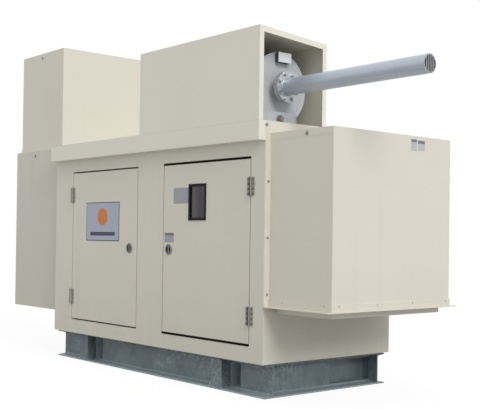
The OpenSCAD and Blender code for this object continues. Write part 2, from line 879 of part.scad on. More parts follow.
module control_panel() {
    x0 = window_x - panel_w / 2;
    x1 = window_x + panel_w / 2;
    z0 = window_z - panel_h / 2 - 20;
    y0 = -y_wall + frame_d + panel_stand;
    rim = 20;
    recess = 6;
    leg = 40;
    color([0.45, 0.47, 0.48]) {
        difference() {
            box_between([x0, y0, z0], [x1, y0 + panel_d, z0 + panel_h]);
            box_between([x0 + rim, y0 - 1, z0 + rim], [x1 - rim, y0 + recess, z0 + panel_h - rim]);
        }
        for (i = [-1 : 1]) translate([window_x + i * 90, y0, window_z + 60]) rod_y(-4, recess + 2, 62);
        for (i = [-2 : 2]) translate([window_x + i * 60, y0, window_z - 60]) rod_y(-6, recess + 2, 24);
        // stand that carries the panel from the floor
        for (x = [x0 + rim, x1 - rim - leg])
            box_between([x, y0 + 50, z_inside], [x + leg, y0 + 50 + leg, z0 + e]);
    }
}

// Two channels on rubber mounts carry the engine and the alternator.
module bearers() {
    x0 = engine_x0 - 80;
    x1 = alt_x1 + 50;
    t = 10;
    mounts = 4;
    mount_pitch = (x1 - x0 - 200) / (mounts - 1);
    color(dark) for (s = [0, 1]) mirror([0, s, 0]) translate([0, bearer_y, 0]) {
        difference() {
            box_between([x0, -bearer_w / 2, bearer_z], [x1, bearer_w / 2, bed_z]);
            box_between([x0 - 1, -bearer_w / 2 + t, bearer_z + t], [x1 + 1, bearer_w / 2 + 1, bed_z - t]);
        }
        for (i = [0 : mounts - 1]) translate([x0 + 100 + i * mount_pitch, 0, z_inside]) rotate_extrude()
            polygon([[0, 0], [45, 0], [45, 10], [36, 16], [32, mount_h], [0, mount_h]]);
    }
}

// Cast bracket from the side of the block down to a bearer.
module engine_foot() {
    side = block_w / 2 + seat;
    in = bearer_y - bearer_w / 2;
    out = bearer_y + bearer_w / 2;
    sole = bed_z + seat;
    along_x(-45, 45) polygon([[in, sole], [out, sole], [out, sole + 18], [side + 30, shaft_z + 60],
        [side, shaft_z + 60], [side, shaft_z - 60], [in, sole + 18]]);
}

module rocker_cover() {
    w = head_w / 2 - 40;
    h = 60;
    along_x(12, bore_pitch - 26) polygon([[-w, 0], [w, 0], [w, h - 22], [w - 22, h], [-w + 22, h], [-w, h - 22]]);
}

// Log manifold on the door side, with a branch to each cylinder head.
module manifold() {
    first = engine_x0 + 40 + bore_pitch / 2;
    branch_d = 62;
    translate([0, riser_y, manifold_z]) {
        rod_x(engine_x0 + 60, manifold_x1, pipe_d);
        for (i = [0 : cylinders - 1]) translate([first + i * bore_pitch, 0, 0]) {
            rod_y(0, -riser_y - head_w / 2 - seat, branch_d);
            rod_y(-riser_y - head_w / 2 - seat - 14, -riser_y - head_w / 2 - seat, branch_d + 36);
        }
    }
}

module engine() {
    half = block_w / 2;
    sump_top = shaft_z - 120;
    color([0.35, 0.37, 0.36]) {
        along_x(engine_x0, engine_x1)
            polygon([[-half, shaft_z - 60], [-half, shaft_z + 200], [-half + 40, block_top], [half - 40, block_top],
                [half, shaft_z + 200], [half, shaft_z - 60], [half - 28, sump_top], [-half + 28, sump_top]]);
        // sump
        along_x(engine_x0 + 30, engine_x1 - 30)
            polygon([[-half + 40, sump_top - seat], [half - 40, sump_top - seat],
                [half - 80, sump_top - sump_h], [-half + 80, sump_top - sump_h]]);
        for (i = [0 : cylinders - 1]) translate([engine_x0 + 40 + i * bore_pitch, 0, block_top + seat]) {
            translate([0, -head_w / 2, 0]) cube([bore_pitch - 14, head_w, head_h]);
            translate([0, 0, head_h + seat]) rocker_cover();
        }
        for (x = [engine_x0 + 105, engine_x1 - 155], s = [0, 1])
            mirror([0, s, 0]) translate([x, 0, 0]) engine_foot();
        // flywheel housing, crank pulley and fan shaft
        translate([0, 0, shaft_z]) rod_x(engine_x1 + seat, flywheel_x1, 460);
        translate([0, 0, shaft_z]) rod_x(engine_x0 - 60, engine_x0 - seat, 190);
        translate([0, 0, fan_z]) rod_x(fan_x + fan_hub + seat, engine_x0 - seat, 90);
        manifold();
        // injection pump, and two filters that hang from their head
        translate([engine_x0 + 170, -half - 90 - seat, shaft_z + 30]) cube([270, 90, 130]);
        translate([engine_x0 + 500, -half - 100 - seat, shaft_z + 150 + seat]) cube([250, 100, 46]);
        for (x = [0, 130])
            translate([engine_x0 + 560 + x, -half - 50 - seat, shaft_z - 40]) cylinder(d = 96, h = 190);
    }
}

// Cast foot that cradles the stator frame on a bearer.
module alternator_foot() {
    difference() {
        box_between([-55, bearer_y - bearer_w / 2, bed_z + seat], [55, bearer_y + bearer_w / 2, shaft_z - 60]);
        translate([0, 0, shaft_z]) rod_x(-56, 56, alt_d + 2 * seat);
    }
}

module alternator() {
    x0 = flywheel_x1 + seat;
    bell = x0 + 90;
    cover = alt_x1 - 60;
    frame_r = alt_d / 2 - 20;
    ribs = 12;
    rib_t = 8;
    color([0.4, 0.42, 0.42]) {
        translate([0, 0, shaft_z]) {
            rod_x(x0, bell, alt_d + 20);
            rod_x(bell + seat, cover, 2 * frame_r);
            for (i = [0 : ribs - 1]) rotate([(i + 0.5) * 360 / ribs, 0, 0])
                box_between([bell + 30, -rib_t / 2, frame_r - 2], [cover - 20, rib_t / 2, alt_d / 2]);
            rod_x(cover + seat, alt_x1, alt_d - 110);
        }
        // terminal box saddled on top
        difference() {
            translate([bell + 60, -150, shaft_z + alt_d / 2 - 60]) cube([320, 300, 200]);
            translate([0, 0, shaft_z]) rod_x(bell, cover, alt_d + 2 * seat);
        }
        for (x = [bell + 85, cover - 85], s = [0, 1]) mirror([0, s, 0]) translate([x, 0, 0]) alternator_foot();
    }
}

module radiator() {
    half = (fan_d + 260) / 2;
    front = radiator_x - 70;
    back = radiator_x + 40;
    z0 = z_inside;
    z1 = z_roof - 220;
    tank_h = 90;
    foot_top = z0 + 150;
    shroud_back = back + 80;
    color([0.25, 0.26, 0.27]) difference() {
        union() {
            box_between([front, -half, foot_top], [back, half, z1 - tank_h]);
            box_between([front - 20, -half - 20, z1 - tank_h - e], [back + 20, half + 20, z1]);
            box_between([front - 20, -half - 20, z0], [back + 20, half + 20, foot_top + e]);
            for (s = [-1, 1]) translate([0, s * (half + 10), 0]) box_between([front, -10, z0], [back, 10, z1]);
            translate([0, 0, fan_z]) rod_x(back - e, shroud_back, fan_d + 80);
        }
        translate([0, 0, fan_z]) rod_x(back + 4, shroud_back + 1, fan_d + 50);
    }
}

module cooling_fan() {
    blades = 8;
    hub_r = 90;
    blade_w = 80;
    pitch_angle = 32;
    color([0.3, 0.3, 0.32]) translate([fan_x, 0, fan_z]) {
        rod_x(0, fan_hub, 2 * hub_r);
        for (i = [0 : blades - 1]) rotate([i * 360 / blades, 0, 0])
            translate([30, -32, hub_r - 10]) rotate([0, 0, pitch_angle])
                cube([5, blade_w, fan_d / 2 - hub_r + 8]);
    }
}

// Air cleaner canister on a bracket from the side of the block.
module air_cleaner() {
    x0 = engine_x0 + 320;
    y = block_w / 2 + 90;
    z = block_top + 230;
    r = 120;
    bracket_x = x0 + 120;
    side = block_w / 2 + seat;
    color([0.2, 0.2, 0.21]) {
        translate([0, y, z]) rod_x(x0, x0 + 420, 2 * r);
        translate([0, y, z]) rod_x(x0 + 420 - e, x0 + 450, 1.7 * r);
        box_between([bracket_x, side, shaft_z + 120], [bracket_x + 80, side + 12, z - r + 10]);
        box_between([bracket_x, side, z - r - 10], [bracket_x + 80, y, z - r + 10]);
    }
}

base_frame();
base_gussets();
floor_plate();
front_sill();
front_header();
front_post_left();
front_post_mid();
front_post_right();
rear_wall();
end_wall_right();
end_wall_left();
roof_plate();
roof_fascia();
inlet_hood();
inlet_lip();
inlet_collar();
outlet_hood();
hot_air_duct();
duct_louvres();
silencer_housing();
silencer();
silencer_feet();
outlet_flanges();
flange_bolts();
tail_pipe();
pipe_guard();
exhaust_riser();
door_left();
door_left_lining();
door_left_latch();
door_left_hinges();
door_right();
door_right_lining();
door_right_latch();
door_right_hinges();
fixed_hinges();
window_frame();
window_glass();
control_panel();
bearers();
engine();
alternator();
radiator();
cooling_fan();
air_cleaner();
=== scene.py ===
# %% [markdown]
# # A diesel generator set
# The set stands in a sheet-steel enclosure: a painted cabinet on a galvanised channel base, an air hood at
# each end, a hot air duct and a silencer box on the roof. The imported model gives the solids. This lesson
# gives them their finishes and adds the small things: screws, seals, plates, hoses, guards and dials.

# %% Load the frame
import math

import bmesh
import bpy
from mathutils import Matrix, Vector


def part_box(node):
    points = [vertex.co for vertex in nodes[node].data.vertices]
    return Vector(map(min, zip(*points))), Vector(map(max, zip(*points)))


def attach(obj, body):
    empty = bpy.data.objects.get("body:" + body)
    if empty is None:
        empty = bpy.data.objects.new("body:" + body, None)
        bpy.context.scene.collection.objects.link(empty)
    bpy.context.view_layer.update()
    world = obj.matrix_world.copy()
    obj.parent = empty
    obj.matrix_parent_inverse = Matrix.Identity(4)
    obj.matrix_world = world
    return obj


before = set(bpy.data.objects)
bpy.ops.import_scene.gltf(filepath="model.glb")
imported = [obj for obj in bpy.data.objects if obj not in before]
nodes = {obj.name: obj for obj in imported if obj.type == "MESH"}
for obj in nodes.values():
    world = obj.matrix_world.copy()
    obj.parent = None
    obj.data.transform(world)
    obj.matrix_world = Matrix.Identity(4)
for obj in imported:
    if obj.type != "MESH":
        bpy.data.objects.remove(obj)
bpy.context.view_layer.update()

# %% [markdown]
# Drawings of such a set are in millimetres, so places here are too. They could all be typed in, but a
# typed number goes stale. Where a place belongs to one solid, it is read from that solid's box.

# %% Places on the set
def corners(name):
    """The lowest and the highest corner of a solid piece, in millimetres."""
    return [[round(c * 1000, 2) for c in corner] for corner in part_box(name)]


def middle(name, axis):
    """Where the middle of a solid piece lies along X (0), Y (1) or Z (2)."""
    low, high = corners(name)
    return round((low[axis] + high[axis]) / 2, 1)


WALL_X = corners("end_wall_right")[1][0]
HOOD_X = corners("inlet_hood")[1][0]
DOOR_OUT = -corners("door_left")[0][1]
SILL_TOP, HEADER_FOOT = corners("front_sill")[1][2], corners("front_header")[0][2]
MID_POST = corners("front_post_mid")
LEFT_DOORWAY = corners("front_post_left")[1][0], MID_POST[0][0]
RIGHT_DOORWAY = MID_POST[1][0], corners("front_post_right")[0][0]
PIPE_Y, PIPE_Z = middle("tail_pipe", 1), middle("tail_pipe", 2)
PANEL_X, PANEL_Y = middle("control_panel", 0), corners("control_panel")[0][1]
FAN_Z = middle("cooling_fan", 2)
SHAFT_Z = 746
HEAD_X = [-704 + 152 * number for number in range(6)]
print("doorways", LEFT_DOORWAY, RIGHT_DOORWAY, "pipe axis", (PIPE_Y, PIPE_Z), "fan", FAN_Z, "panel", PANEL_X)

# %% [markdown]
# The camera stands low, about 7 m from the middle of the set, off its exhaust end, and looks slightly upward
# along the door side. It could be aimed with a constraint; three angles written out are easier to follow. A
# lens of about 68 mm and a small shift keep the lines calm and straight.

# %% Camera
def new_object(name, data):
    made = bpy.data.objects.new(name, data)
    bpy.context.scene.collection.objects.link(made)
    return made


yaw, pitch, roll = (math.radians(degrees) for degrees in (51.2, 0.7, 0.8))
ahead = Vector((-math.sin(yaw) * math.cos(pitch), math.cos(yaw) * math.cos(pitch), math.sin(pitch)))
level = ahead.cross(Vector((0, 0, 1))).normalized()
upright = level.cross(ahead)
right = math.cos(roll) * level + math.sin(roll) * upright
up = math.cos(roll) * upright - math.sin(roll) * level
standing = Matrix.Translation((5.6236, -4.6937, 1.0581))
camera = new_object("camera", bpy.data.cameras.new("camera"))
camera.matrix_world = standing @ Matrix((right, up, -ahead)).transposed().to_4x4()
camera.data.lens, camera.data.sensor_width = 68.06, 36
camera.data.shift_x, camera.data.shift_y = 0.1, 0.0427
bpy.context.scene.camera = camera
bpy.context.scene.view_settings.view_transform = "Standard"
print("camera at", tuple(round(c, 3) for c in camera.location))

# %% [markdown]
# Shader maths reads best as ordinary sums. A small class wraps one socket, and each operator adds a Math
# node. Finishes and Geometry Nodes trees are both grown node by node, so they share one way to add a node.

# %% Node sums in plain operators
class Value:
    """One socket of a node tree, with the operators of ordinary sums."""

    def __init__(self, grower, socket):
        self.grower, self.socket = grower, socket

    def _sum(self, operation, other, flip=False):
        first, second = (other, self) if flip else (self, other)
        return self.grower.node("ShaderNodeMath", {"operation": operation}, {0: first, 1: second})

    def __add__(self, other):
        return self._sum("ADD", other)

    def __sub__(self, other):
        return self._sum("SUBTRACT", other)

    def __rsub__(self, other):
        return self._sum("SUBTRACT", other, flip=True)

    def __mul__(self, other):
        return self._sum("MULTIPLY", other)

    def __truediv__(self, other):
        return self._sum("DIVIDE", other)

    def __gt__(self, other):
        return self._sum("GREATER_THAN", other)

    def __lt__(self, other):
        return self._sum("LESS_THAN", other)

    __radd__, __rmul__ = __add__, __mul__

# %% One way to add a node
class Grower:
    """A node tree that grows by one method: a node's type, its settings, and what its inputs hold."""

    def __init__(self, tree):
        self.tree = tree

    def node(self, kind, settings=None, links=None, output=0):
        made = self.tree.nodes.new(kind)
        for key, value in (settings or {}).items():
            setattr(made, key, value)
        for key, value in (links or {}).items():
            several = isinstance(value, list) and isinstance(value[0], Value)
            for one in value if several else [value]:
                one = one.socket if isinstance(one, Value) else one
                if isinstance(one, bpy.types.NodeSocket):
                    self.tree.links.new(one, made.inputs[key])
                else:
                    made.inputs[key].default_value = one
        return Value(self, made.outputs[output]) if len(made.outputs) else None


# %% [markdown]
# A finish is what a painter or a plater gives a surface. It could be set up by hand in the shader editor,
# but a class with a few plain words, noise, cells, ramp, blend, paint and bump, keeps every finish to a few
# lines.

# %% A finish
def srgb(red, green, blue):
    """A colour as paint charts give it, 0 to 255, turned to the linear numbers that shaders use."""
    shares = (value / 255 for value in (red, green, blue))
    return tuple(s / 12.92 if s <= 0.04045 else ((s + 0.055) / 1.055) ** 2.4 for s in shares) + (1,)


class Finish(Grower):
    """A material with a Principled shader."""

    def __init__(self, name, color, roughness=0.5, **fixed):
        self.material = bpy.data.materials.new(name)
        self.material.use_nodes = True
        super().__init__(self.material.node_tree)
        self.shader = self.tree.nodes["Principled BSDF"]
        self.shader.inputs["Base Color"].default_value = color
        self.shader.inputs["Roughness"].default_value = roughness
        for socket, value in fixed.items():
            self.shader.inputs[socket.replace("_", " ")].default_value = value
        self.place = self.node("ShaderNodeTexCoord", output="Object")

    def stretched(self, stretch):
        return self.node("ShaderNodeMapping", {}, {"Vector": self.place, "Scale": stretch})

    def noise(self, scale, detail=2.0, stretch=(1, 1, 1), rough=0.5):
        return self.node("ShaderNodeTexNoise", {}, {"Vector": self.stretched(stretch), "Scale": scale,
                                                    "Detail": detail, "Roughness": rough})

    def cells(self, scale, stretch):
        """A random colour for each cell."""
        where = self.stretched(stretch)
        return self.node("ShaderNodeTexVoronoi", {}, {"Vector": where, "Scale": scale}, "Color")

    def axis(self, name):
        return self.node("ShaderNodeSeparateXYZ", {}, {0: self.place}, name)

    def faces(self, name):
        """How squarely the surface faces along one axis: 1 towards it, -1 away from it."""
        normal = self.node("ShaderNodeNewGeometry", output="Normal")
        return self.node("ShaderNodeSeparateXYZ", {}, {0: normal}, name)

    def ramp(self, value, low, high):
        return self.node("ShaderNodeMapRange", {}, {"Value": value, "From Min": low, "From Max": high})

    def blend(self, amount, first, second):
        return self.node("ShaderNodeMix", {"data_type": "RGBA"}, {0: amount, 6: first, 7: second}, 2)

    def paint(self, color=None, roughness=None):
        for socket, value in (("Base Color", color), ("Roughness", roughness)):
            if value is not None:
                self.tree.links.new(value.socket, self.shader.inputs[socket])

    def color_so_far(self):
        return Value(self, self.shader.inputs["Base Color"].links[0].from_socket)

    def bump(self, height, distance, strength=1.0):
        made = self.node("ShaderNodeBump", {}, {"Height": height, "Distance": distance, "Strength": strength})
        self.tree.links.new(made.socket, self.shader.inputs["Normal"])

# %% Finishes go on the solids
def dress(finish, *names):
    """Gives CAD nodes a finish."""
    for name in names:
        for slot in nodes[name].material_slots:
            slot.material = finish.material
    print(finish.material.name, "on", ", ".join(names))


# %% [markdown]
# The cabinet is pressed steel sheet with a baked coat of warm grey-beige. Up close such paint has a fine
# orange peel and the sheet is never quite flat; from afar it looks even, with a little grime low down and
# where rain runs off. A painted texture could show that. Noise at three scales shows it at any size, with
# no seams.

# %% Cabinet paint
GRIME_TOP, GRIME_FULL = 0.9, 0.2


def cabinet_paint(name, color):
    coat = Finish(name, color, Coat_Weight=0.06, Coat_Roughness=0.3)
    patches = coat.noise(1.3, 3)
    streaks = coat.noise(9, 4, stretch=(1, 1, 0.06))
    low_down = coat.ramp(coat.axis("Z"), GRIME_TOP, GRIME_FULL)
    grime = low_down * streaks * 0.16 + coat.ramp(streaks, 0.62, 0.85) * 0.07
    tone = coat.blend(coat.ramp(patches, 0.3, 0.7), color, [c * 0.97 for c in color[:3]] + [1])
    coat.paint(color=coat.blend(grime, tone, srgb(150, 140, 120)), roughness=coat.noise(3, 3) * 0.16 + 0.36)
    coat.bump(coat.noise(420, 2) * 0.25 + coat.noise(2.2, 1) * 2.0, 0.0006, 0.5)
    return coat


cabinet = cabinet_paint("cabinet_paint", srgb(220, 216, 203))
# The silencer housing and the roof fascia get a lighter copy of this paint, which is painted light. The
# outlet hood gets a darker copy, which is painted shade.
housing_coat_painted_light = cabinet_paint("housing_paint", srgb(232, 229, 215))
hood_coat_painted_shade = cabinet_paint("hood_paint", srgb(208, 205, 192))
dress(cabinet, "front_sill", "front_header", "front_post_left", "front_post_mid", "front_post_right",
      "rear_wall", "end_wall_right", "end_wall_left", "roof_plate", "inlet_hood", "inlet_lip",
      "inlet_collar", "hot_air_duct", "duct_louvres", "door_left", "door_right")
dress(housing_coat_painted_light, "silencer_housing", "roof_fascia")
dress(hood_coat_painted_shade, "outlet_hood")

# %% [markdown]
# Hot-dip galvanising freezes into spangles, leaf-like crystals a few centimetres wide, and dulls to patches
# of grey. Voronoi cells give each spangle its own tone, and slow noise gives the patches; one noise alone
# would look like stone. The heavy channels of the base have dulled dark, with pale dust in patches. Their
# upper part is painted darker, a painted shade under the cabinet's overhang, and the low faces that point up
# are painted lighter, a painted highlight where light falls on them. The pipe and its flanges are newer and
# paler.

# %% Galvanised steel
TOE_FULL, TOE_TOP = 0.012, 0.024


def galvanised(name, color, spangle, dull, mottle, metallic, depth, shade_sheen_and_dust=False):
    zinc = Finish(name, color, Metallic=metallic)
    leaves = zinc.node("ShaderNodeSeparateColor", {}, {0: zinc.cells(spangle, (1, 1.35, 0.8))})
    patches = zinc.noise(5.5, 5, rough=0.62)
    tone = leaves * 0.25 + patches * mottle + zinc.noise(14, 3) * 0.15
    light = [min(1, c * (2 - depth)) for c in color[:3]] + [1]
    deep = [c * depth for c in color[:3]] + [1]
    shade = zinc.blend(zinc.ramp(tone, 0.18, 0.82), deep, light)
    if shade_sheen_and_dust:
        # Painted highlight: low faces that point up are painted pale, as where light falls on them. Pale dust
        # patches are added to the same blend.
        lit_toes = zinc.ramp(zinc.axis("Z"), TOE_TOP, TOE_FULL) * zinc.ramp(zinc.faces("Z"), -0.3, 0.3)
        dusty = zinc.ramp(zinc.noise(1.9, 2), 0.50, 0.60)
        speckle = dusty * zinc.ramp(zinc.noise(48, 5, rough=0.7), 0.46, 0.62)
        # Painted shade: the upper part of the base is painted darker, as under the cabinet's overhang.
        shade = zinc.blend(zinc.ramp(zinc.axis("Z"), 0.08, 0.23) * 0.5, shade, deep)
        shade = zinc.blend(lit_toes * 0.75 + speckle * 0.42, shade, srgb(176, 190, 198))
    zinc.paint(color=shade, roughness=leaves * 0.14 + dull - 0.07)
    zinc.bump(leaves * 0.4 + zinc.noise(160, 3), 0.0005, 0.4)
    return zinc


base_zinc = galvanised("galvanised_base", srgb(106, 118, 122), spangle=26, dull=0.46, mottle=1.1,
                       metallic=0.45, depth=0.60, shade_sheen_and_dust=True)
# The collars get a much paler copy of the base's zinc. It is painted light that stands in for light inside
# the lifting openings.
collar_zinc_painted_light = galvanised("galvanised_collar", srgb(176, 191, 196), spangle=40, dull=0.45, mottle=0.5,
                         metallic=0.15, depth=0.8)
pipe_zinc = galvanised("galvanised_pipe", srgb(190, 199, 211), spangle=70, dull=0.36, mottle=0.15,
                       metallic=0.4, depth=0.95)
flange_zinc = galvanised("galvanised_flange", srgb(194, 198, 202), spangle=80, dull=0.34, mottle=0.4,
                         metallic=0.6, depth=0.84)
dress(base_zinc, "base_frame", "base_gussets", "floor_plate")
dress(pipe_zinc, "tail_pipe", "exhaust_riser")
dress(flange_zinc, "outlet_flanges", "silencer_feet")

# %% [markdown]
# Exhaust gas blackens the bore of the tail pipe with soot. A second material inside the pipe would need its
# own faces; a circle round the pipe's axis, worked out in the shader, tells bore from outside with no cut.
# The bars across the pipe's mouth are bright on the face that points out, and black with soot on their
# sides. The way a surface faces is known to the shader, so one finish does both.

# %% Soot in the tail pipe and on its guard
SOOT_RADIUS = 0.0545
off_y, off_z = pipe_zinc.axis("Y") - PIPE_Y / 1000, pipe_zinc.axis("Z") - PIPE_Z / 1000
sooty = off_y * off_y + off_z * off_z < SOOT_RADIUS * SOOT_RADIUS
pipe_zinc.paint(color=pipe_zinc.blend(sooty, pipe_zinc.color_so_far(), srgb(16, 15, 14)))

guard_zinc = galvanised("galvanised_guard", srgb(198, 203, 208), spangle=90, dull=0.4, mottle=0.3,
                        metallic=0.4, depth=0.85)
outward = guard_zinc.ramp(guard_zinc.faces("X"), 0.6, 0.9)
guard_zinc.paint(color=guard_zinc.blend(outward, srgb(14, 13, 12), guard_zinc.color_so_far()))
dress(guard_zinc, "pipe_guard")

# %% [markdown]
# The silencer drum wears smooth aluminium paint, which takes the heat. It is a little darker than the pipe,
# with the fine lines of a drawn brush and a faint brown bloom where it ran hot. A plain metal would look
# new, and a picture of rust would look old; two soft noises sit between them.

# %% Heat paint of the silencer
heat_paint = Finish("heat_paint", srgb(182, 186, 190), 0.6)
bloom = heat_paint.ramp(heat_paint.noise(6, 4), 0.55, 0.8)
brushed = heat_paint.noise(40, 3, stretch=(1, 0.08, 0.08))
heat_paint.paint(color=heat_paint.blend(bloom * 0.25, srgb(188, 192, 196), srgb(158, 156, 151)),
                 roughness=brushed * 0.2 + 0.5)
heat_paint.bump(brushed + heat_paint.noise(300, 2) * 0.4, 0.0004, 0.4)
dress(heat_paint, "silencer")

# %% [markdown]
# Small ironmongery: plated bolts and latches, black rubber, and screws of zinc-plated steel. Each could
# have a tree of its own, but at this size they differ only in tone, gloss and grain, so one function makes
# them all.

# %% Ironmongery finishes
def plain_finish(name, dark, light, rough, scale=30, grain=300, **fixed):
    """Two close tones over slow noise, a roughness that wanders a little, and a fine bump."""
    made = Finish(name, light, rough, **fixed)
    made.paint(color=made.blend(made.noise(scale, 4), dark, light),
               roughness=made.noise(scale * 2, 3) * 0.2 + rough - 0.1)
    made.bump(made.noise(grain, 2), 0.0002, 0.35)
    return made


bright = plain_finish("bright_plating", srgb(170, 171, 169), srgb(212, 212, 210), 0.30, Metallic=1.0)
latch_metal = plain_finish("latch_metal", srgb(118, 119, 118), srgb(164, 165, 163), 0.34, Metallic=0.8)
screw_steel = plain_finish("screw_steel", srgb(126, 124, 117), srgb(160, 157, 149), 0.42, 90, 500,
                           Metallic=0.3)
painted_screw = plain_finish("painted_screw", srgb(184, 181, 169), srgb(200, 196, 184), 0.4, 90, 500)
rubber = plain_finish("black_rubber", srgb(14, 14, 15), srgb(30, 29, 29), 0.8, 14, 350)
# Near-black with little sheen: a painted shade for the strips in the wide gaps of the right door.
seal_black = plain_finish("seal_black", srgb(5, 5, 5), srgb(12, 12, 12), 0.9, 14, 350, Specular_IOR_Level=0.2)
dress(bright, "flange_bolts")
dress(latch_metal, "door_left_latch", "door_right_latch")

# %% [markdown]
# The hinges are painted with the cabinet. On the right door, with the controls behind it, a strip along the
# front of the knuckles is painted dark, a painted shade of the knuckle's gap, and the hinge screws are
# painted dark there and pale on the left door, painted shade and light. The hinge solids of both doors share
# a finish, and two tests on the place in the object tell the painted shade from the plain paint.

# %% Hinges and their screws
KNUCKLE_FRONT = -0.6490
hinge_paint = plain_finish("hinge_paint", srgb(146, 143, 133), srgb(170, 167, 156), 0.42, 60, 420)
# Painted shade: the front of the right door's knuckles is painted dark.
painted_knuckle_shade = (hinge_paint.axis("Y") < KNUCKLE_FRONT) * (hinge_paint.axis("X") > 0)
hinge_paint.paint(color=hinge_paint.blend(painted_knuckle_shade, hinge_paint.color_so_far(), srgb(62, 60, 56)))
dress(hinge_paint, "door_left_hinges", "door_right_hinges", "fixed_hinges")

hinge_screw = Finish("hinge_screw", srgb(66, 65, 62), 0.45)
# Painted shade and light: the hinge screws are dark on the right door and pale on the left.
screw_shade_and_light = hinge_screw.blend(hinge_screw.axis("X") > 0, srgb(136, 133, 124), srgb(58, 57, 54))
hinge_screw.paint(color=hinge_screw.blend(hinge_screw.noise(90, 4) * 0.4, screw_shade_and_light, srgb(104, 102, 96)),
                  roughness=hinge_screw.noise(180, 3) * 0.2 + 0.35)
hinge_screw.bump(hinge_screw.noise(500, 2), 0.0002, 0.35)
print(hinge_screw.material.name, "is ready for the hinge screws")

# %% [markdown]
# The window in the right door is a smoked pane in a black frame. Clear glass over a dark room could give
# the same look, but it needs many more light bounces; a dark pane that lets a little through is calm and
# quick. Tall bands of grey stand for what such a pane mirrors.

# %% Window
frame_black = plain_finish("window_frame_black", srgb(9, 9, 9), srgb(18, 18, 18), 0.6, 25, 700,
                           Specular_IOR_Level=0.25)
glass = Finish("smoked_glass", srgb(28, 30, 30), 0.06, Alpha=0.84, Coat_Weight=0.3, Coat_Roughness=0.03)
bands = glass.ramp(glass.noise(16, 1, stretch=(1, 1, 0.04)), 0.38, 0.62)
glass.paint(color=glass.blend(bands, srgb(8, 9, 8), srgb(66, 65, 60)),
            roughness=glass.noise(20, 3) * 0.06 + 0.04)
dress(frame_black, "window_frame")
dress(glass, "window_glass")

# %% [markdown]
# Inside, the doors and walls carry a charcoal acoustic foam with a quilted face. Real humps all over it
# would cost many faces that are only seen when a door is open, so a product of two waves gives the bump and
# the tone; the tone is a painted shade, darker in the hollows between the humps.

# %% Lining
foam = Finish("acoustic_foam", srgb(44, 45, 47), 0.95)
HUMP = 0.05
humps = [foam.node("ShaderNodeMath", {"operation": "SINE"}, {0: foam.axis(name) * (math.tau / HUMP)})
         for name in "XZ"]
egg_crate = humps[0] * humps[1] * 0.5 + 0.5
# Painted shade: the foam is darker in its hollows and lighter on its humps.
foam.paint(color=foam.blend(egg_crate, srgb(30, 31, 33), srgb(58, 59, 61)),
           roughness=foam.noise(80, 2) * 0.1 + 0.88)
foam.bump(egg_crate + foam.noise(260, 3) * 0.1, 0.008, 0.8)
dress(foam, "door_left_lining", "door_right_lining")

# %% [markdown]
# The machinery wears plain workshop enamels under a film of oil: a grey-green engine, a blue-grey
# alternator, a black radiator. A flat colour would look like plastic. Where the film is thick it is darker
# and glossier, so one noise drives both.

# %% Machinery enamels
def enamel(name, color, oil):
    coat = Finish(name, color)
    film = coat.ramp(coat.noise(7, 5, rough=0.65), 0.45, 0.75)
    coat.paint(color=coat.blend(film * oil, color, srgb(38, 32, 24)),
               roughness=0.46 - film * 0.18 + coat.noise(120, 2) * 0.1)
    coat.bump(coat.noise(180, 4), 0.0012, 0.5)
    return coat


engine_green = enamel("engine_enamel", srgb(84, 98, 90), 0.45)
alternator_blue = enamel("alternator_enamel", srgb(96, 108, 116), 0.25)
black_enamel = enamel("black_enamel", srgb(38, 39, 40), 0.2)
panel_grey = enamel("panel_enamel", srgb(150, 153, 150), 0.06)
dress(engine_green, "engine")
dress(alternator_blue, "alternator")
dress(black_enamel, "radiator", "cooling_fan", "air_cleaner", "bearers")
dress(panel_grey, "control_panel")

# %% [markdown]
# About 160 screws, nuts and pins hold the set together. Each could be an object, but so many are slow and
# hard to change. A Geometry Nodes recipe makes one kind once and puts it on every marked point, turned the
# way the point says, with its own random twist, as a fitter leaves them. Each recipe has named sizes. Its
# result is kept as a plain mesh, one for each moving body.

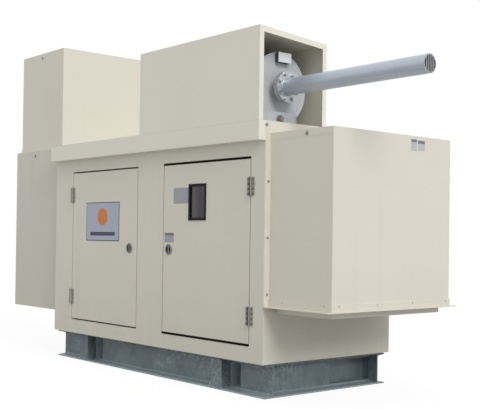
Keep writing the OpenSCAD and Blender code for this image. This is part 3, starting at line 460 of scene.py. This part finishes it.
# %% A recipe in Geometry Nodes
class Recipe(Grower):
    """A Geometry Nodes group with named sizes, grown like a finish."""

    def __init__(self, name, **sizes):
        super().__init__(bpy.data.node_groups.new(name, "GeometryNodeTree"))
        face = self.tree.interface
        face.new_socket("Start", in_out="INPUT", socket_type="NodeSocketGeometry")
        face.new_socket("Made", in_out="OUTPUT", socket_type="NodeSocketGeometry")
        finish = face.new_socket("Finish", in_out="INPUT", socket_type="NodeSocketMaterial")
        self.keys = {"Finish": finish.identifier}
        for key, value in sizes.items():
            kind = "NodeSocketInt" if isinstance(value, int) else "NodeSocketFloat"
            made = face.new_socket(key, in_out="INPUT", socket_type=kind)
            made.default_value = value
            self.keys[key] = made.identifier

    def given(self, key):
        return self.node("NodeGroupInput", output=key)

    def triple(self, x=0.0, y=0.0, z=0.0):
        return self.node("ShaderNodeCombineXYZ", {}, {"X": x, "Y": y, "Z": z})

    def whole(self, value):
        return self.node("ShaderNodeMath", {"operation": "FLOOR"}, {0: value})

    def join(self, *parts):
        return self.node("GeometryNodeJoinGeometry", {}, {0: list(parts)})

    def moved(self, part, offset):
        return self.node("GeometryNodeTransform", {}, {"Geometry": part, "Translation": offset})

    def on_marks(self, part, twist):
        """The part on every marked point, with its Z the way the point faces."""
        facing = self.node("GeometryNodeInputNamedAttribute", {"data_type": "FLOAT_VECTOR"},
                           {"Name": "facing"})
        turned = self.node("FunctionNodeAlignRotationToVector", {"axis": "Z"}, {"Vector": facing})
        spin = self.node("FunctionNodeRandomValue", {}, {"Min": 0.0, "Max": twist, "Seed": 7}, 1)
        spun = self.node("FunctionNodeEulerToRotation", {}, {0: self.triple(z=spin)})
        turned = self.node("FunctionNodeRotateRotation", {"rotation_space": "LOCAL"}, {0: turned, 1: spun})
        return self.node("GeometryNodeInstanceOnPoints", {},
                         {"Points": self.given("Start"), "Instance": part, "Rotation": turned})

    def end(self, part, smooth=False):
        part = self.node("GeometryNodeRealizeInstances", {}, {0: part})
        part = self.node("GeometryNodeSetShadeSmooth", {}, {"Geometry": part, "Shade Smooth": smooth})
        part = self.node("GeometryNodeSetMaterial", {}, {"Geometry": part, "Material": self.given("Finish")})
        self.node("NodeGroupOutput", {}, {0: part})
        print("recipe", self.tree.name, "of", len(self.tree.nodes), "nodes, sizes", list(self.keys)[1:])

# %% From a recipe to a piece
def add_piece(name, mesh, body):
    piece = new_object(name, mesh)
    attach(piece, body)
    print(name, "on", body, "with", len(mesh.polygons), "faces")


def make(recipe, name, finish, start, body="enclosure", slot="black_steel", **sizes):
    """Runs a recipe on a start mesh and keeps the result as a plain mesh that rides on a body."""
    seed = new_object(name + "_start", start)
    grown = seed.modifiers.new("recipe", "NODES")
    grown.node_group = recipe.tree
    for key, value in {**sizes, "Finish": finish.material}.items():
        grown[recipe.keys[key]] = value
    mesh = bpy.data.meshes.new_from_object(seed.evaluated_get(bpy.context.evaluated_depsgraph_get()))
    seed.modifiers.remove(grown)
    bpy.data.objects.remove(seed)
    add_piece(name, mesh, body)


def marks(places):
    """Loose points in millimetres, each with the way it faces."""
    mesh = bpy.data.meshes.new("marks")
    mesh.from_pydata([Vector(place) / 1000 for place, _ in places], [], [])
    facing = mesh.attributes.new("facing", "FLOAT_VECTOR", "POINT")
    facing.data.foreach_set("vector", [float(c) for _, way in places for c in way])
    return mesh


# %% [markdown]
# A nut, a screw and a foam pin differ less than it seems. Modelling each by hand would triple the work, so
# one recipe covers every fixing: a washer, a straight shank of head and a chamfered top. Six sides make a
# nut, twenty a button screw, and a small head on a broad washer a pin.

# %% The fixing recipe
SHANK_SHARE = 0.7
fixing = Recipe("fixing", Sides=6, Head=0.006, Rise=0.004, Washer=0.008, Gauge=0.001, Taper=0.8)
sides, head, rise, gauge = (fixing.given(key) for key in ("Sides", "Head", "Rise", "Gauge"))
washer = fixing.node("GeometryNodeMeshCylinder", {},
                     {"Vertices": 20, "Radius": fixing.given("Washer"), "Depth": gauge})
washer = fixing.moved(washer, fixing.triple(z=gauge * 0.5))
shank = fixing.node("GeometryNodeMeshCylinder", {},
                    {"Vertices": sides, "Radius": head, "Depth": rise * SHANK_SHARE})
shank = fixing.moved(shank, fixing.triple(z=gauge + rise * (SHANK_SHARE / 2)))
top = fixing.node("GeometryNodeMeshCone", {},
                  {"Vertices": sides, "Radius Bottom": head, "Radius Top": head * fixing.given("Taper"),
                   "Depth": rise * (1 - SHANK_SHARE)})
top = fixing.moved(top, fixing.triple(z=gauge + rise * SHANK_SHARE))
fixing.end(fixing.on_marks(fixing.join(washer, shank, top), 6.28))

BUTTON = {"Sides": 20, "Head": 0.0095, "Rise": 0.0045, "Washer": 0.0135, "Gauge": 0.0012, "Taper": 0.55}
SMALL = {"Sides": 16, "Head": 0.0060, "Rise": 0.0022, "Washer": 0.0068, "Gauge": 0.0005, "Taper": 0.55}
HEX = {"Sides": 6, "Head": 0.0085, "Rise": 0.0065, "Washer": 0.0110, "Gauge": 0.0016, "Taper": 0.86}
BIG_NUT = {"Sides": 6, "Head": 0.0210, "Rise": 0.0180, "Washer": 0.0300, "Gauge": 0.0040, "Taper": 0.84}
FOOT_NUT = {"Sides": 6, "Head": 0.018, "Rise": 0.016, "Washer": 0.024, "Gauge": 0.004, "Taper": 0.86}

# %% [markdown]
# The sheets of the cabinet are closed with grey button screws, about one every 40 cm along each flange.
# They show best on the end wall, on both sides of the hood, and in a row round the lip under it. Dots in a
# texture would vanish from the side, so they are real heads on real washers.

# %% Screws of the cabinet
END, BACK, FRONT, UP = (1, 0, 0), (0, 1, 0), (0, -1, 0), (0, 0, 1)
FLANGE_Z = (683, 1053, 1422)
sheet_screws = [((s * WALL_X, y, z), (s, 0, 0)) for s in (1, -1) for y in (-606, 606) for z in FLANGE_Z]
sheet_screws += [((WALL_X, y, 1789), END) for y in (-624, 624)]
for x, out, z in ((1652, 588.2, 1713), (-1798, 587, 1775), (-1785, 537, 2685)):
    sheet_screws += [((x, s * out, z), (0, s, 0)) for s in (-1, 1)]
make(fixing, "sheet_screws", screw_steel, marks(sheet_screws), **BUTTON)

LIP_Z = 640
lip_screws = [((1881, y, LIP_Z), END) for y in (-524, -169, 187, 543)]
lip_screws += [((x, s * 593, LIP_Z), (0, s, 0)) for x in (1815, 1459) for s in (-1, 1)]
make(fixing, "lip_screws", painted_screw, marks(lip_screws), slot="enclosure_paint", **SMALL)

rear_columns, rear_rows = (-1300, -470, -414, 414, 470, 1300), (280, 660, 1040, 1420, 1780)
rear_screws = [((x, 635, z), BACK) for x in rear_columns for z in rear_rows]
make(fixing, "rear_screws", screw_steel, marks(rear_screws), **BUTTON)

# %% [markdown]
# Each hinge leaf takes four screws. They could be one piece for the whole set, but the screws of the fixed
# leaves stay with the enclosure and those of the moving leaves swing with their door, so the same pattern
# is made once for each body.

# %% Screws of the hinges
LEAF_Y, LEAF_STEP = -638, 24
HINGE_X = {"left": LEFT_DOORWAY[0], "right": RIGHT_DOORWAY[1]}
hinge_heights = [z + step for z in (534, 1392) for step in (-48, -17, 17, 48)]
post_leaves = (HINGE_X["left"] - LEAF_STEP, HINGE_X["right"] + LEAF_STEP)
fixed_leaf = [((x, LEAF_Y, z), FRONT) for x in post_leaves for z in hinge_heights]
make(fixing, "fixed_hinge_screws", hinge_screw, marks(fixed_leaf), **SMALL)
for side, x in (("left", HINGE_X["left"] + LEAF_STEP), ("right", HINGE_X["right"] - LEAF_STEP)):
    door_leaf = [((x, LEAF_Y, z), FRONT) for z in hinge_heights]
    make(fixing, side + "_hinge_screws", hinge_screw, marks(door_leaf), body=side + "_door", **SMALL)

# %% [markdown]
# Heavier fixings: the nut on the silencer's end foot, and the bolts that tie the base to its cross members.
# They are hexagons on thick washers, so the same recipe makes them with larger sizes.

# %% Nuts and bolts of base and silencer
foot_nut = marks([((1196.5, PIPE_Y, 1859), END)])
make(fixing, "silencer_foot_nut", screw_steel, foot_nut, **BIG_NUT)
foot_nuts = marks([((x, s * 572, 11), UP) for x in (-979, 735) for s in (-1, 1)])
make(fixing, "base_foot_nuts", flange_zinc, foot_nuts, slot="galvanised_steel", **FOOT_NUT)

# %% [markdown]
# Plates are thin sheets with rounded corners. A bevelled cube would round every edge alike. An outline of
# arcs, raised by its thickness, keeps the flat back and gives a small bevel in front. Nothing is written on
# a plate: the sign is a blue field, a plain disc and a line, and the small plates have a plain grey band.

# %% A plate
ARC_STEPS, EDGE_BEVEL = 4, 1.2


def close_piece(name, sheet, finish, body):
    """Turns a sheet of bmesh faces into a piece whose faces point outwards."""
    bmesh.ops.recalc_face_normals(sheet, faces=sheet.faces)
    mesh = bpy.data.meshes.new(name)
    sheet.to_mesh(mesh)
    sheet.free()
    mesh.materials.append(finish.material)
    add_piece(name, mesh, body)


def plate(name, finish, corner, width, height, out, thick, radius, body,
          facing="front"):
    """A plate in millimetres; its lower corner is (x or y, z) and its back is `out` away from the middle."""
    def place(across, above, depth):
        if facing == "front":
            return corner[0] + across, -out - depth, corner[1] + above
        return out + depth, corner[0] + across, corner[1] + above

    arcs = []
    for quarter, (cx, cy) in enumerate(((width - radius, height - radius), (radius, height - radius),
                                        (radius, radius), (width - radius, radius))):
        for step in range(ARC_STEPS + 1):
            angle = math.radians(90 * quarter + 90 / ARC_STEPS * step)
            arcs.append((cx + radius * math.cos(angle), cy + radius * math.sin(angle)))
    sheet = bmesh.new()
    half_w, half_h = width / 2, height / 2
    rings = []
    for share, depth in ((1, 0), (1, thick * 0.6), (1 - EDGE_BEVEL / max(width, height), thick)):
        outline = [place(half_w + (a - half_w) * share, half_h + (b - half_h) * share, depth)
                   for a, b in arcs]
        rings.append([sheet.verts.new(Vector(point) / 1000) for point in outline])
    for low, high in zip(rings, rings[1:]):
        for i in range(len(arcs)):
            j = (i + 1) % len(arcs)
            sheet.faces.new((low[i], low[j], high[j], high[i]))
    sheet.faces.new(rings[0])
    sheet.faces.new(rings[-1])
    close_piece(name, sheet, finish, body)

# %% The sign and the small plates
sign_blue = plain_finish("sign_blue", srgb(166, 175, 192), srgb(176, 185, 201), 0.36, 2.5, 500)
sign_edge = plain_finish("sign_edge", srgb(44, 50, 66), srgb(62, 69, 86), 0.35, 20, 500)
sign_orange = plain_finish("sign_orange", srgb(206, 112, 28), srgb(220, 128, 42), 0.35, 25, 500)
label_band = plain_finish("label_band", srgb(108, 110, 115), srgb(126, 128, 133), 0.4, 30, 500)
label_pale = plain_finish("label_pale", srgb(176, 178, 178), srgb(196, 197, 196), 0.4, 30, 500)
label_grey = plain_finish("label_grey", srgb(150, 152, 160), srgb(168, 169, 178), 0.35, 18, 500)

for name, finish, corner, width, height, raised, thick, radius, slot in (
        ("border", sign_edge, (-828, 1009), 483, 315, 0, 1.2, 6, "black_steel"),
        ("field", sign_blue, (-821, 1016), 469, 301, 1.2, 0.5, 4, "enclosure_paint"),
        ("line", sign_edge, (-766, 1052), 360, 30, 1.7, 0.4, 2, "black_steel"),
        ("disc", sign_orange, (-658, 1133), 144, 144, 1.7, 0.5, 71.9, "enclosure_paint")):
    plate("sign_" + name, finish, corner, width, height, DOOR_OUT + raised, thick, radius, "left_door")
plate("latch_label_top", label_band, (254, 1060), 111, 20, DOOR_OUT, 0.5, 2, "right_door")
plate("latch_label_body", label_grey, (254, 1011), 111, 48, DOOR_OUT, 0.5, 2, "right_door")
plate("door_plate", label_grey, (356, 1293), 186, 114, DOOR_OUT, 0.8, 4, "right_door")
BAND, BAND_GAP = 21, 1
for number, (y0, y1, z0, z1) in enumerate(((162, 221, 1640, 1718), (230, 307, 1645, 1713)), 1):
    for part, finish, foot, tall in (("body", label_pale, z0, z1 - z0 - BAND - BAND_GAP),
                                     ("top", label_band, z1 - BAND, BAND)):
        plate(f"hood_label_{number}_{part}", finish, (y0, foot), y1 - y0, tall, HOOD_X, 0.5, 2, "enclosure",
              facing="end")

# %% [markdown]
# A few strips finish the sheet work: the top sheet of the hood is folded down over its sides, near-black
# strips fill the wide gaps over and under the right door as a painted shade of the gaps, and steel collars
# line the lifting openings of the base, so that a sling can't chafe; their zinc is painted pale, as light
# inside the openings. A flat strip would show no edge, so each is a bar of real thickness with softened
# edges, and a collar is four of them.

# %% Folds, gap shade strips and collars
def bars(name, finish, boxes, soften=0.4):
    """Bars between pairs of corners in millimetres, as one mesh with bevelled edges."""
    sheet = bmesh.new()
    for low, high in boxes:
        low, high = Vector(low) / 1000, Vector(high) / 1000
        grown = bmesh.ops.create_cube(sheet, size=1.0)["verts"]
        for vert in grown:
            vert.co = Vector(((low + high)[k] / 2 + vert.co[k] * (high - low)[k] for k in range(3)))
    bmesh.ops.bevel(sheet, geom=sheet.edges, offset=soften / 1000, segments=2, affect="EDGES")
    close_piece(name, sheet, finish, "enclosure")


HOOD_SIDE, FOLD_OUT = 587, 588.2
folds = [((1330, y0, 1694), (1874, y1, 1739.6))
         for y0, y1 in ((-FOLD_OUT, -HOOD_SIDE), (HOOD_SIDE, FOLD_OUT))]
bars("hood_top_folds", cabinet, folds)
gap_shade_strips = [((236, -637, z), (1189, -603, z + 15)) for z in (333.4, 1577.6)]
bars("right_door_gap_seals", seal_black, gap_shade_strips, 0.8)
COLLAR_FOOT, COLLAR_TOP, COLLAR_WALL = 25, 195, 4.5
collars = []
for x0, x1 in ((-831, -716), (883, 998)):
    for y0, y1 in ((-519.9, -380), (380, 519.9)):
        collars += [((x0 - 5, y0, COLLAR_FOOT), (x0 - 0.5, y1, COLLAR_TOP)),
                    ((x1 + 0.5, y0, COLLAR_FOOT), (x1 + 5, y1, COLLAR_TOP)),
                    ((x0 - 0.4, y0, COLLAR_FOOT), (x1 + 0.4, y1, COLLAR_FOOT + COLLAR_WALL)),
                    ((x0 - 0.4, y0, COLLAR_TOP - COLLAR_WALL), (x1 + 0.4, y1, COLLAR_TOP))]
# The collars' zinc is painted pale, as light inside the lifting openings.
bars("lifting_collars", collar_zinc_painted_light, collars)

# %% [markdown]
# The block on the silencer's end is closed with a pale cover plate, which stands a little past its edges.
# Dark strips round the block's sides are a painted shade under the cover. Paint alone could divide the
# block's faces, but the cover's overhang throws the thin shadow that makes it read as a separate plate.

# %% Painted shade strips and cover of the silencer's block
side_strips = [((1184, y, 2244.4), (1216.5, y + 1.6, 2309.6)) for y in (-422.8, -306.8)]
side_strips += [((1184, -421, z), (1216.5, -307, z + 1.4)) for z in (2244.4, 2308.2)]
# Painted shade: a dark finish for the strips round the block's sides.
board_slate = plain_finish("board_slate", srgb(62, 62, 66), srgb(80, 80, 84), 0.8, 14, 350)
bars("silencer_block_side_shade", board_slate, side_strips, 0.3)
cover = [((1218.3, -424, 2243), (1221, -304, 2311))]
cover_white = plain_finish("cover_white", srgb(214, 216, 220), srgb(232, 233, 237), 0.4, 20, 400)
bars("silencer_block_cover", cover_white, cover, 0.5)

# %% [markdown]
# Hoses, pipes, seals and weld beads all follow a path. A curve with a bevel would do for one of them. The
# recipe does for all: it takes the corners of the path, rounds them, puts even steps along it and draws a
# round profile after it, with a slight ripple where a weld needs one.

# %% The swept recipe
RIPPLE_TURN = 1.57
swept = Recipe("swept", Radius=0.01, Bend=0.05, Step=0.02, Ripple=0.0, Sides=12)
route = swept.node("GeometryNodeMeshToCurve", {}, {0: swept.given("Start")})
route = swept.node("GeometryNodeFilletCurve", {"mode": "POLY"},
                   {"Curve": route, "Count": 8, "Radius": swept.given("Bend"), "Limit Radius": True})
route = swept.node("GeometryNodeResampleCurve", {"mode": "LENGTH"},
                   {"Curve": route, "Length": swept.given("Step")})
count = swept.node("GeometryNodeInputIndex")
wave = swept.node("ShaderNodeMath", {"operation": "SINE"}, {0: count * RIPPLE_TURN})
route = swept.node("GeometryNodeSetCurveRadius", {},
                   {"Curve": route, "Radius": wave * swept.given("Ripple") + 1})
outline = swept.node("GeometryNodeCurvePrimitiveCircle", {},
                     {"Resolution": swept.given("Sides"), "Radius": swept.given("Radius")})
swept.end(swept.node("GeometryNodeCurveToMesh", {},
                     {"Curve": route, "Profile Curve": outline, "Fill Caps": True}), smooth=True)

# %% Paths and circles to sweep along
def paths(*routes, closed=False):
    """Routes of corner points in millimetres as one mesh of edges."""
    points, edges = [], []
    for route in routes:
        first = len(points)
        points += [Vector(corner) / 1000 for corner in route]
        edges += [(first + i, first + i + 1) for i in range(len(route) - 1)]
        if closed:
            edges.append((len(points) - 1, first))
    mesh = bpy.data.meshes.new("paths")
    mesh.from_pydata(points, edges, [])
    return mesh


def around(count, offset=0.0):
    return [math.tau * (i + offset) / count for i in range(count)]


def ring(centre, radius, count=32):
    """Points on a circle round an axis that lies along X."""
    spots = (Vector((0, radius * math.cos(t), radius * math.sin(t))) for t in around(count))
    return [tuple(Vector(centre) + spot) for spot in spots]


# %% [markdown]
# Each doorway has a rubber seal all round, which the door presses on, and the tail pipe and its flanges are
# joined by a bead of weld. Both are closed rounds of one section, so the swept recipe makes them, the weld
# with a ripple as the rod leaves it.

# %% Door seals and weld beads
SEAL_Y, SEAL_IN = -590, 4.6
frames = [[(x0 + SEAL_IN, SEAL_Y, SILL_TOP + SEAL_IN), (x1 - SEAL_IN, SEAL_Y, SILL_TOP + SEAL_IN),
           (x1 - SEAL_IN, SEAL_Y, HEADER_FOOT - SEAL_IN), (x0 + SEAL_IN, SEAL_Y, HEADER_FOOT - SEAL_IN)]
          for x0, x1 in (LEFT_DOORWAY, RIGHT_DOORWAY)]
make(swept, "door_seals", rubber, paths(*frames, closed=True),
     Radius=0.0044, Bend=0.014, Step=0.02, Sides=10)
welds = [ring((x, PIPE_Y, PIPE_Z), 59.5) for x in (1275.5, 1239.5)]
make(swept, "weld_beads", flange_zinc, paths(*welds, closed=True), slot="galvanised_steel",
     Radius=0.0035, Bend=0.001, Step=0.004, Ripple=0.25, Sides=8)

# %% [markdown]
# The engine is dressed as a fitter would dress it: steel injector pipes from the pump to each head, rubber
# hoses to the radiator, and a conduit from the alternator's terminal box to the panel. Straight cylinders
# would meet at hard corners; a swept path bends them as a pipe bender does.

# %% Pipes, hoses and conduit
injector_pipes = []
for number, head_x in enumerate(HEAD_X):
    line_x, pump_x = head_x + 66, -640 + 48 * number
    injector_pipes.append([(pump_x, -255, 906), (pump_x, -255, 985), (line_x, -205, 1020),
                           (line_x, -190, 1085), (line_x, -140, 1130), (line_x, -140, 1215),
                           (line_x - 30, -100, 1215), (line_x - 30, -100, 1187)])
make(swept, "injector_pipes", bright, paths(*injector_pipes), slot="galvanised_steel",
     Radius=0.0035, Bend=0.022, Step=0.012, Sides=8)
hoses = [[(-820, 130, 1030), (-900, 130, 1030), (-930, 130, 1300), (-930, 130, 1550), (-1069, 130, 1550)],
         [(-820, -140, 660), (-900, -140, 660), (-930, -200, 320), (-1069, -200, 320)]]
make(swept, "coolant_hoses", rubber, paths(*hoses),
     Radius=0.026, Bend=0.07, Step=0.015, Ripple=0.02, Sides=16)
conduit = [(570, -151, 1060), (570, -260, 1060), (570, -350, 1180), (570, -428, 1180)]
make(swept, "conduit", rubber, paths(conduit), Radius=0.016, Bend=0.05, Step=0.006, Ripple=0.06, Sides=14)

# %% [markdown]
# The fan has a guard of wire rings on spokes. It faces the engine, where a hand could reach it through the
# door. A wireframe of a disc would give it kinked wires; rings and spokes drawn as paths stay round.

# %% Fan guard
rings = [ring((-1002, 0, FAN_Z), radius, 48) for radius in (70, 130, 190, 250, 310, 352)]
make(swept, "fan_guard_rings", black_enamel, paths(*rings, closed=True),
     Radius=0.003, Bend=0.001, Step=0.02, Sides=6)
spokes = [[(-1006, radius * math.cos(t), FAN_Z + radius * math.sin(t)) for radius in (70, 356)]
          for t in around(8)]
make(swept, "fan_guard_spokes", black_enamel, paths(*spokes), Radius=0.004, Bend=0.001, Step=0.1, Sides=6)

# %% [markdown]
# A belt drives the fan from the crankshaft. Its path goes round both pulleys: half a turn and a bit on the
# large one, rather less on the small one, with straight runs that touch both circles. A stretched ring
# would cut through the pulleys; the lean of the straight runs, worked out from the two radii, keeps it on
# them.

# %% Fan belt
def belt(x, low, low_radius, high, high_radius):
    lean = math.asin((low_radius - high_radius) / (high - low))
    points = []
    for centre, radius, first, last in ((high, high_radius, lean, math.pi - lean),
                                        (low, low_radius, math.pi - lean, math.tau + lean)):
        for step in range(17):
            angle = first + (last - first) * step / 16
            points.append((x, radius * math.cos(angle), centre + radius * math.sin(angle)))
    return points


make(swept, "fan_belt", rubber, paths(belt(-850, SHAFT_Z, 101, FAN_Z, 51), closed=True),
     Radius=0.006, Bend=0.001, Step=0.02, Sides=6)

# %% [markdown]
# Bright nuts stand on the rocker covers, the manifold's flanges, the terminal box and the alternator's end
# cover. These could be left plain, but it is the rows of nuts that show how a machine comes apart.

# %% Nuts of the machinery
machine_nuts = [((x, y, 1247), UP) for x in HEAD_X for y in (-40, 40)]
machine_nuts += [((x + s * 44, -134.8, 1131), FRONT) for x in HEAD_X for s in (-1, 1)]
machine_nuts += [((x, y, 1127), UP) for x in (430, 710) for y in (-130, 130)]
machine_nuts += [((1000.5, 150 * math.cos(t), SHAFT_Z + 150 * math.sin(t)), END) for t in around(8, 0.5)]
make(fixing, "machine_nuts", bright, marks(machine_nuts), **HEX)

# %% [markdown]
# Foam pads line the inside of each rear panel. A pad is a grid of small pillows on a backing. One dense
# sheet, pushed out by a wave, would need many more faces; one pillow of a few faces, put on a grid, keeps
# the recipe short.

# %% Foam pads
quilt = Recipe("quilt", Width=0.8, Height=1.2, Pitch=0.06, Backing=0.012, Swell=0.014)
width, height, pitch, backing = (quilt.given(key) for key in ("Width", "Height", "Pitch", "Backing"))
sheet = quilt.node("GeometryNodeMeshGrid", {},
                   {"Size X": width - pitch, "Size Y": height - pitch,
                    "Vertices X": quilt.whole(width / pitch), "Vertices Y": quilt.whole(height / pitch)})
pillow = quilt.node("GeometryNodeMeshCone", {},
                    {"Vertices": 8, "Side Segments": 2,
                     "Radius Top": pitch * 0.16, "Radius Bottom": pitch * 0.52,
                     "Depth": quilt.given("Swell")})
pillows = quilt.node("GeometryNodeInstanceOnPoints", {}, {"Points": sheet, "Instance": pillow})
pillows = quilt.moved(pillows, quilt.triple(z=backing))
slab = quilt.node("GeometryNodeMeshCube", {}, {"Size": quilt.triple(width, height, backing)})
slab = quilt.moved(slab, quilt.triple(z=backing * 0.5))
quilt.end(quilt.on_marks(quilt.join(slab, pillows), 0.0))
rear_pads = marks([((x, 632.5, 1022), FRONT) for x in (-884, 0, 884)])
make(quilt, "rear_pads", foam, rear_pads, slot="acoustic_lining", Width=0.85, Height=1.54, Pitch=0.06)

# %% [markdown]
# The foam on the doors is held by bright pins with broad washers, in a loose grid that leaves out the
# window. Glue would hold it too, but fails in the heat. The fixing recipe makes one piece for each door.

# %% Pins that hold the door foam
PIN_Y, PIN_ROWS = -600.8, (450, 720, 1240, 1500)
PIN = {"Sides": 12, "Head": 0.004, "Rise": 0.002, "Washer": 0.016, "Gauge": 0.0008, "Taper": 0.7}
for side, columns in (("left", (-960, -700, -440, -270)), ("right", (330, 480, 860, 1100))):
    pins = [((x, PIN_Y, z), BACK) for x in columns for z in PIN_ROWS
            if not (side == "right" and 480 <= x <= 860 and z > 1000)]
    make(fixing, side + "_door_pins", bright, marks(pins), body=side + "_door", **PIN)

# %% [markdown]
# The panel behind the window has dials and push buttons. A dial is a pale face with plain ticks and a hub.
# The ticks could be drawn in a shader, but real ones stay sharp close up, and a short recipe sets them
# round.

# %% Dials
FIRST_TICK, TICK_SWEEP = 0.52, 4.19
ticks = Recipe("ticks", Count=11, Reach=0.024, Length=0.004, Breadth=0.0008)
size = ticks.triple(ticks.given("Length"), ticks.given("Breadth"), 0.0004)
bar = ticks.node("GeometryNodeMeshCube", {}, {"Size": size})
bar = ticks.moved(bar, ticks.triple(x=ticks.given("Reach")))
ray = ticks.node("GeometryNodeMeshLine", {}, {"Count": ticks.given("Count"), "Offset": ticks.triple()})
turn = ticks.node("GeometryNodeInputIndex") / (ticks.given("Count") - 1) * TICK_SWEEP - FIRST_TICK
angle = ticks.node("FunctionNodeEulerToRotation", {}, {0: ticks.triple(z=turn)})
dial = ticks.node("GeometryNodeInstanceOnPoints", {}, {"Points": ray, "Instance": bar, "Rotation": angle})
ticks.end(ticks.on_marks(dial, 0.0))


def dial_marks(out):
    return marks([((PANEL_X + s * 90, PANEL_Y + out, 1360), FRONT) for s in (-1, 1)])


FACE = {"Sides": 32, "Head": 0.027, "Rise": 0.0006, "Washer": 0.0275, "Gauge": 0.0004, "Taper": 0.98}
HUB = {"Sides": 16, "Head": 0.003, "Rise": 0.002, "Washer": 0.004, "Gauge": 0.0004, "Taper": 0.7}
dial_face = plain_finish("dial_face", srgb(214, 214, 208), srgb(226, 226, 221), 0.35, 20, 500)
make(ticks, "dial_ticks", frame_black, dial_marks(0.8))
make(fixing, "dial_faces", dial_face, dial_marks(2), slot="panel_grey", **FACE)
make(fixing, "dial_hubs", frame_black, dial_marks(1), **HUB)

# %% [markdown]
# Three push buttons sit under the dials, in the colours that every panel uses: green to start, yellow to
# reset and red to stop. Each is a smooth low cap, so a fixing with twenty-four sides serves, in its own
# enamel.

# %% Push buttons
CAP = {"Sides": 24, "Head": 0.0105, "Rise": 0.003, "Washer": 0.011, "Gauge": 0.0006, "Taper": 0.8}
buttons = (("green", srgb(40, 128, 64), -60), ("yellow", srgb(214, 176, 40), 0),
           ("red", srgb(178, 34, 28), 60))
for tint, color, across in buttons:
    lighter = [min(1, c * 1.2) for c in color[:3]] + [1]
    cap = plain_finish("button_" + tint, color, lighter, 0.3, 60, 500)
    spot = marks([((PANEL_X + across, PANEL_Y, 1240), FRONT)])
    make(fixing, "button_" + tint, cap, spot, slot="panel_grey", **CAP)

# %% [markdown]
# The stage is a pale floor in soft daylight. A ring of lamps could light it, but their edges would show in
# the steel. The world gives most of the light, so that every colour shows about as written, and one large
# soft sun from the exhaust end makes that end the bright one. The white behind the set is the colour that
# the camera sees; it adds no light of its own.

# %% Floor
HALF_FLOOR = 400
floor_mesh = bpy.data.meshes.new("floor")
floor_mesh.from_pydata([(x * HALF_FLOOR, y * HALF_FLOOR, 0.0)
                        for x, y in ((-1, -1), (1, -1), (1, 1), (-1, 1))],
                       [], [(0, 1, 2, 3)])
floor = new_object("floor", floor_mesh)
floor_paint = Finish("floor_white", (0.50, 0.50, 0.50, 1), 0.9, Specular_IOR_Level=0.0)
glow = floor_paint.node("ShaderNodeEmission", {}, {"Strength": 1.12})
seen = floor_paint.node("ShaderNodeLightPath", output="Is Camera Ray")
shown = floor_paint.node("ShaderNodeMixShader", {},
                         {0: seen * 0.82, 1: floor_paint.shader.outputs[0], 2: glow})
floor_paint.tree.links.new(shown.socket, floor_paint.tree.nodes["Material Output"].inputs["Surface"])
floor.data.materials.append(floor_paint.material)
print("floor of", 2 * HALF_FLOOR, "m")

# %% Daylight and soft sun
DAYLIGHT_LOW, DAYLIGHT_HIGH = 0.55, 0.86
world = bpy.data.worlds.new("daylight")
bpy.context.scene.world = world
world.use_nodes = True
sky = Grower(world.node_tree)
camera_ray, glossy_ray, clear_ray = (sky.node("ShaderNodeLightPath", output=f"Is {kind} Ray")
                                     for kind in ("Camera", "Glossy", "Transmission"))
straight = camera_ray + glossy_ray + clear_ray
high = sky.node("ShaderNodeSeparateXYZ", {}, {0: sky.node("ShaderNodeTexCoord", output="Generated")}, "Z")
daylight = sky.node("ShaderNodeMapRange", {}, {"Value": high, "From Min": 0.0, "From Max": 1.0,
                                               "To Min": DAYLIGHT_LOW, "To Max": DAYLIGHT_HIGH})
strength = sky.node("ShaderNodeMix", {"data_type": "FLOAT"}, {0: straight, 2: daylight, 3: 1.0})
background = sky.tree.nodes["Background"]
sky.tree.links.new(strength.socket, background.inputs["Strength"])
background.inputs["Color"].default_value = (1, 1, 1, 1)

sun = new_object("soft_sun", bpy.data.lights.new("soft_sun", "SUN"))
sun.data.energy = 1.5
sun.data.angle = math.radians(28)
sun.rotation_mode = "QUATERNION"
sun.rotation_quaternion = Vector((0.80, -0.16, 0.58)).to_track_quat("Z", "Y")
print("light: daylight", DAYLIGHT_LOW, "to", DAYLIGHT_HIGH, "and sun", sun.data.energy)
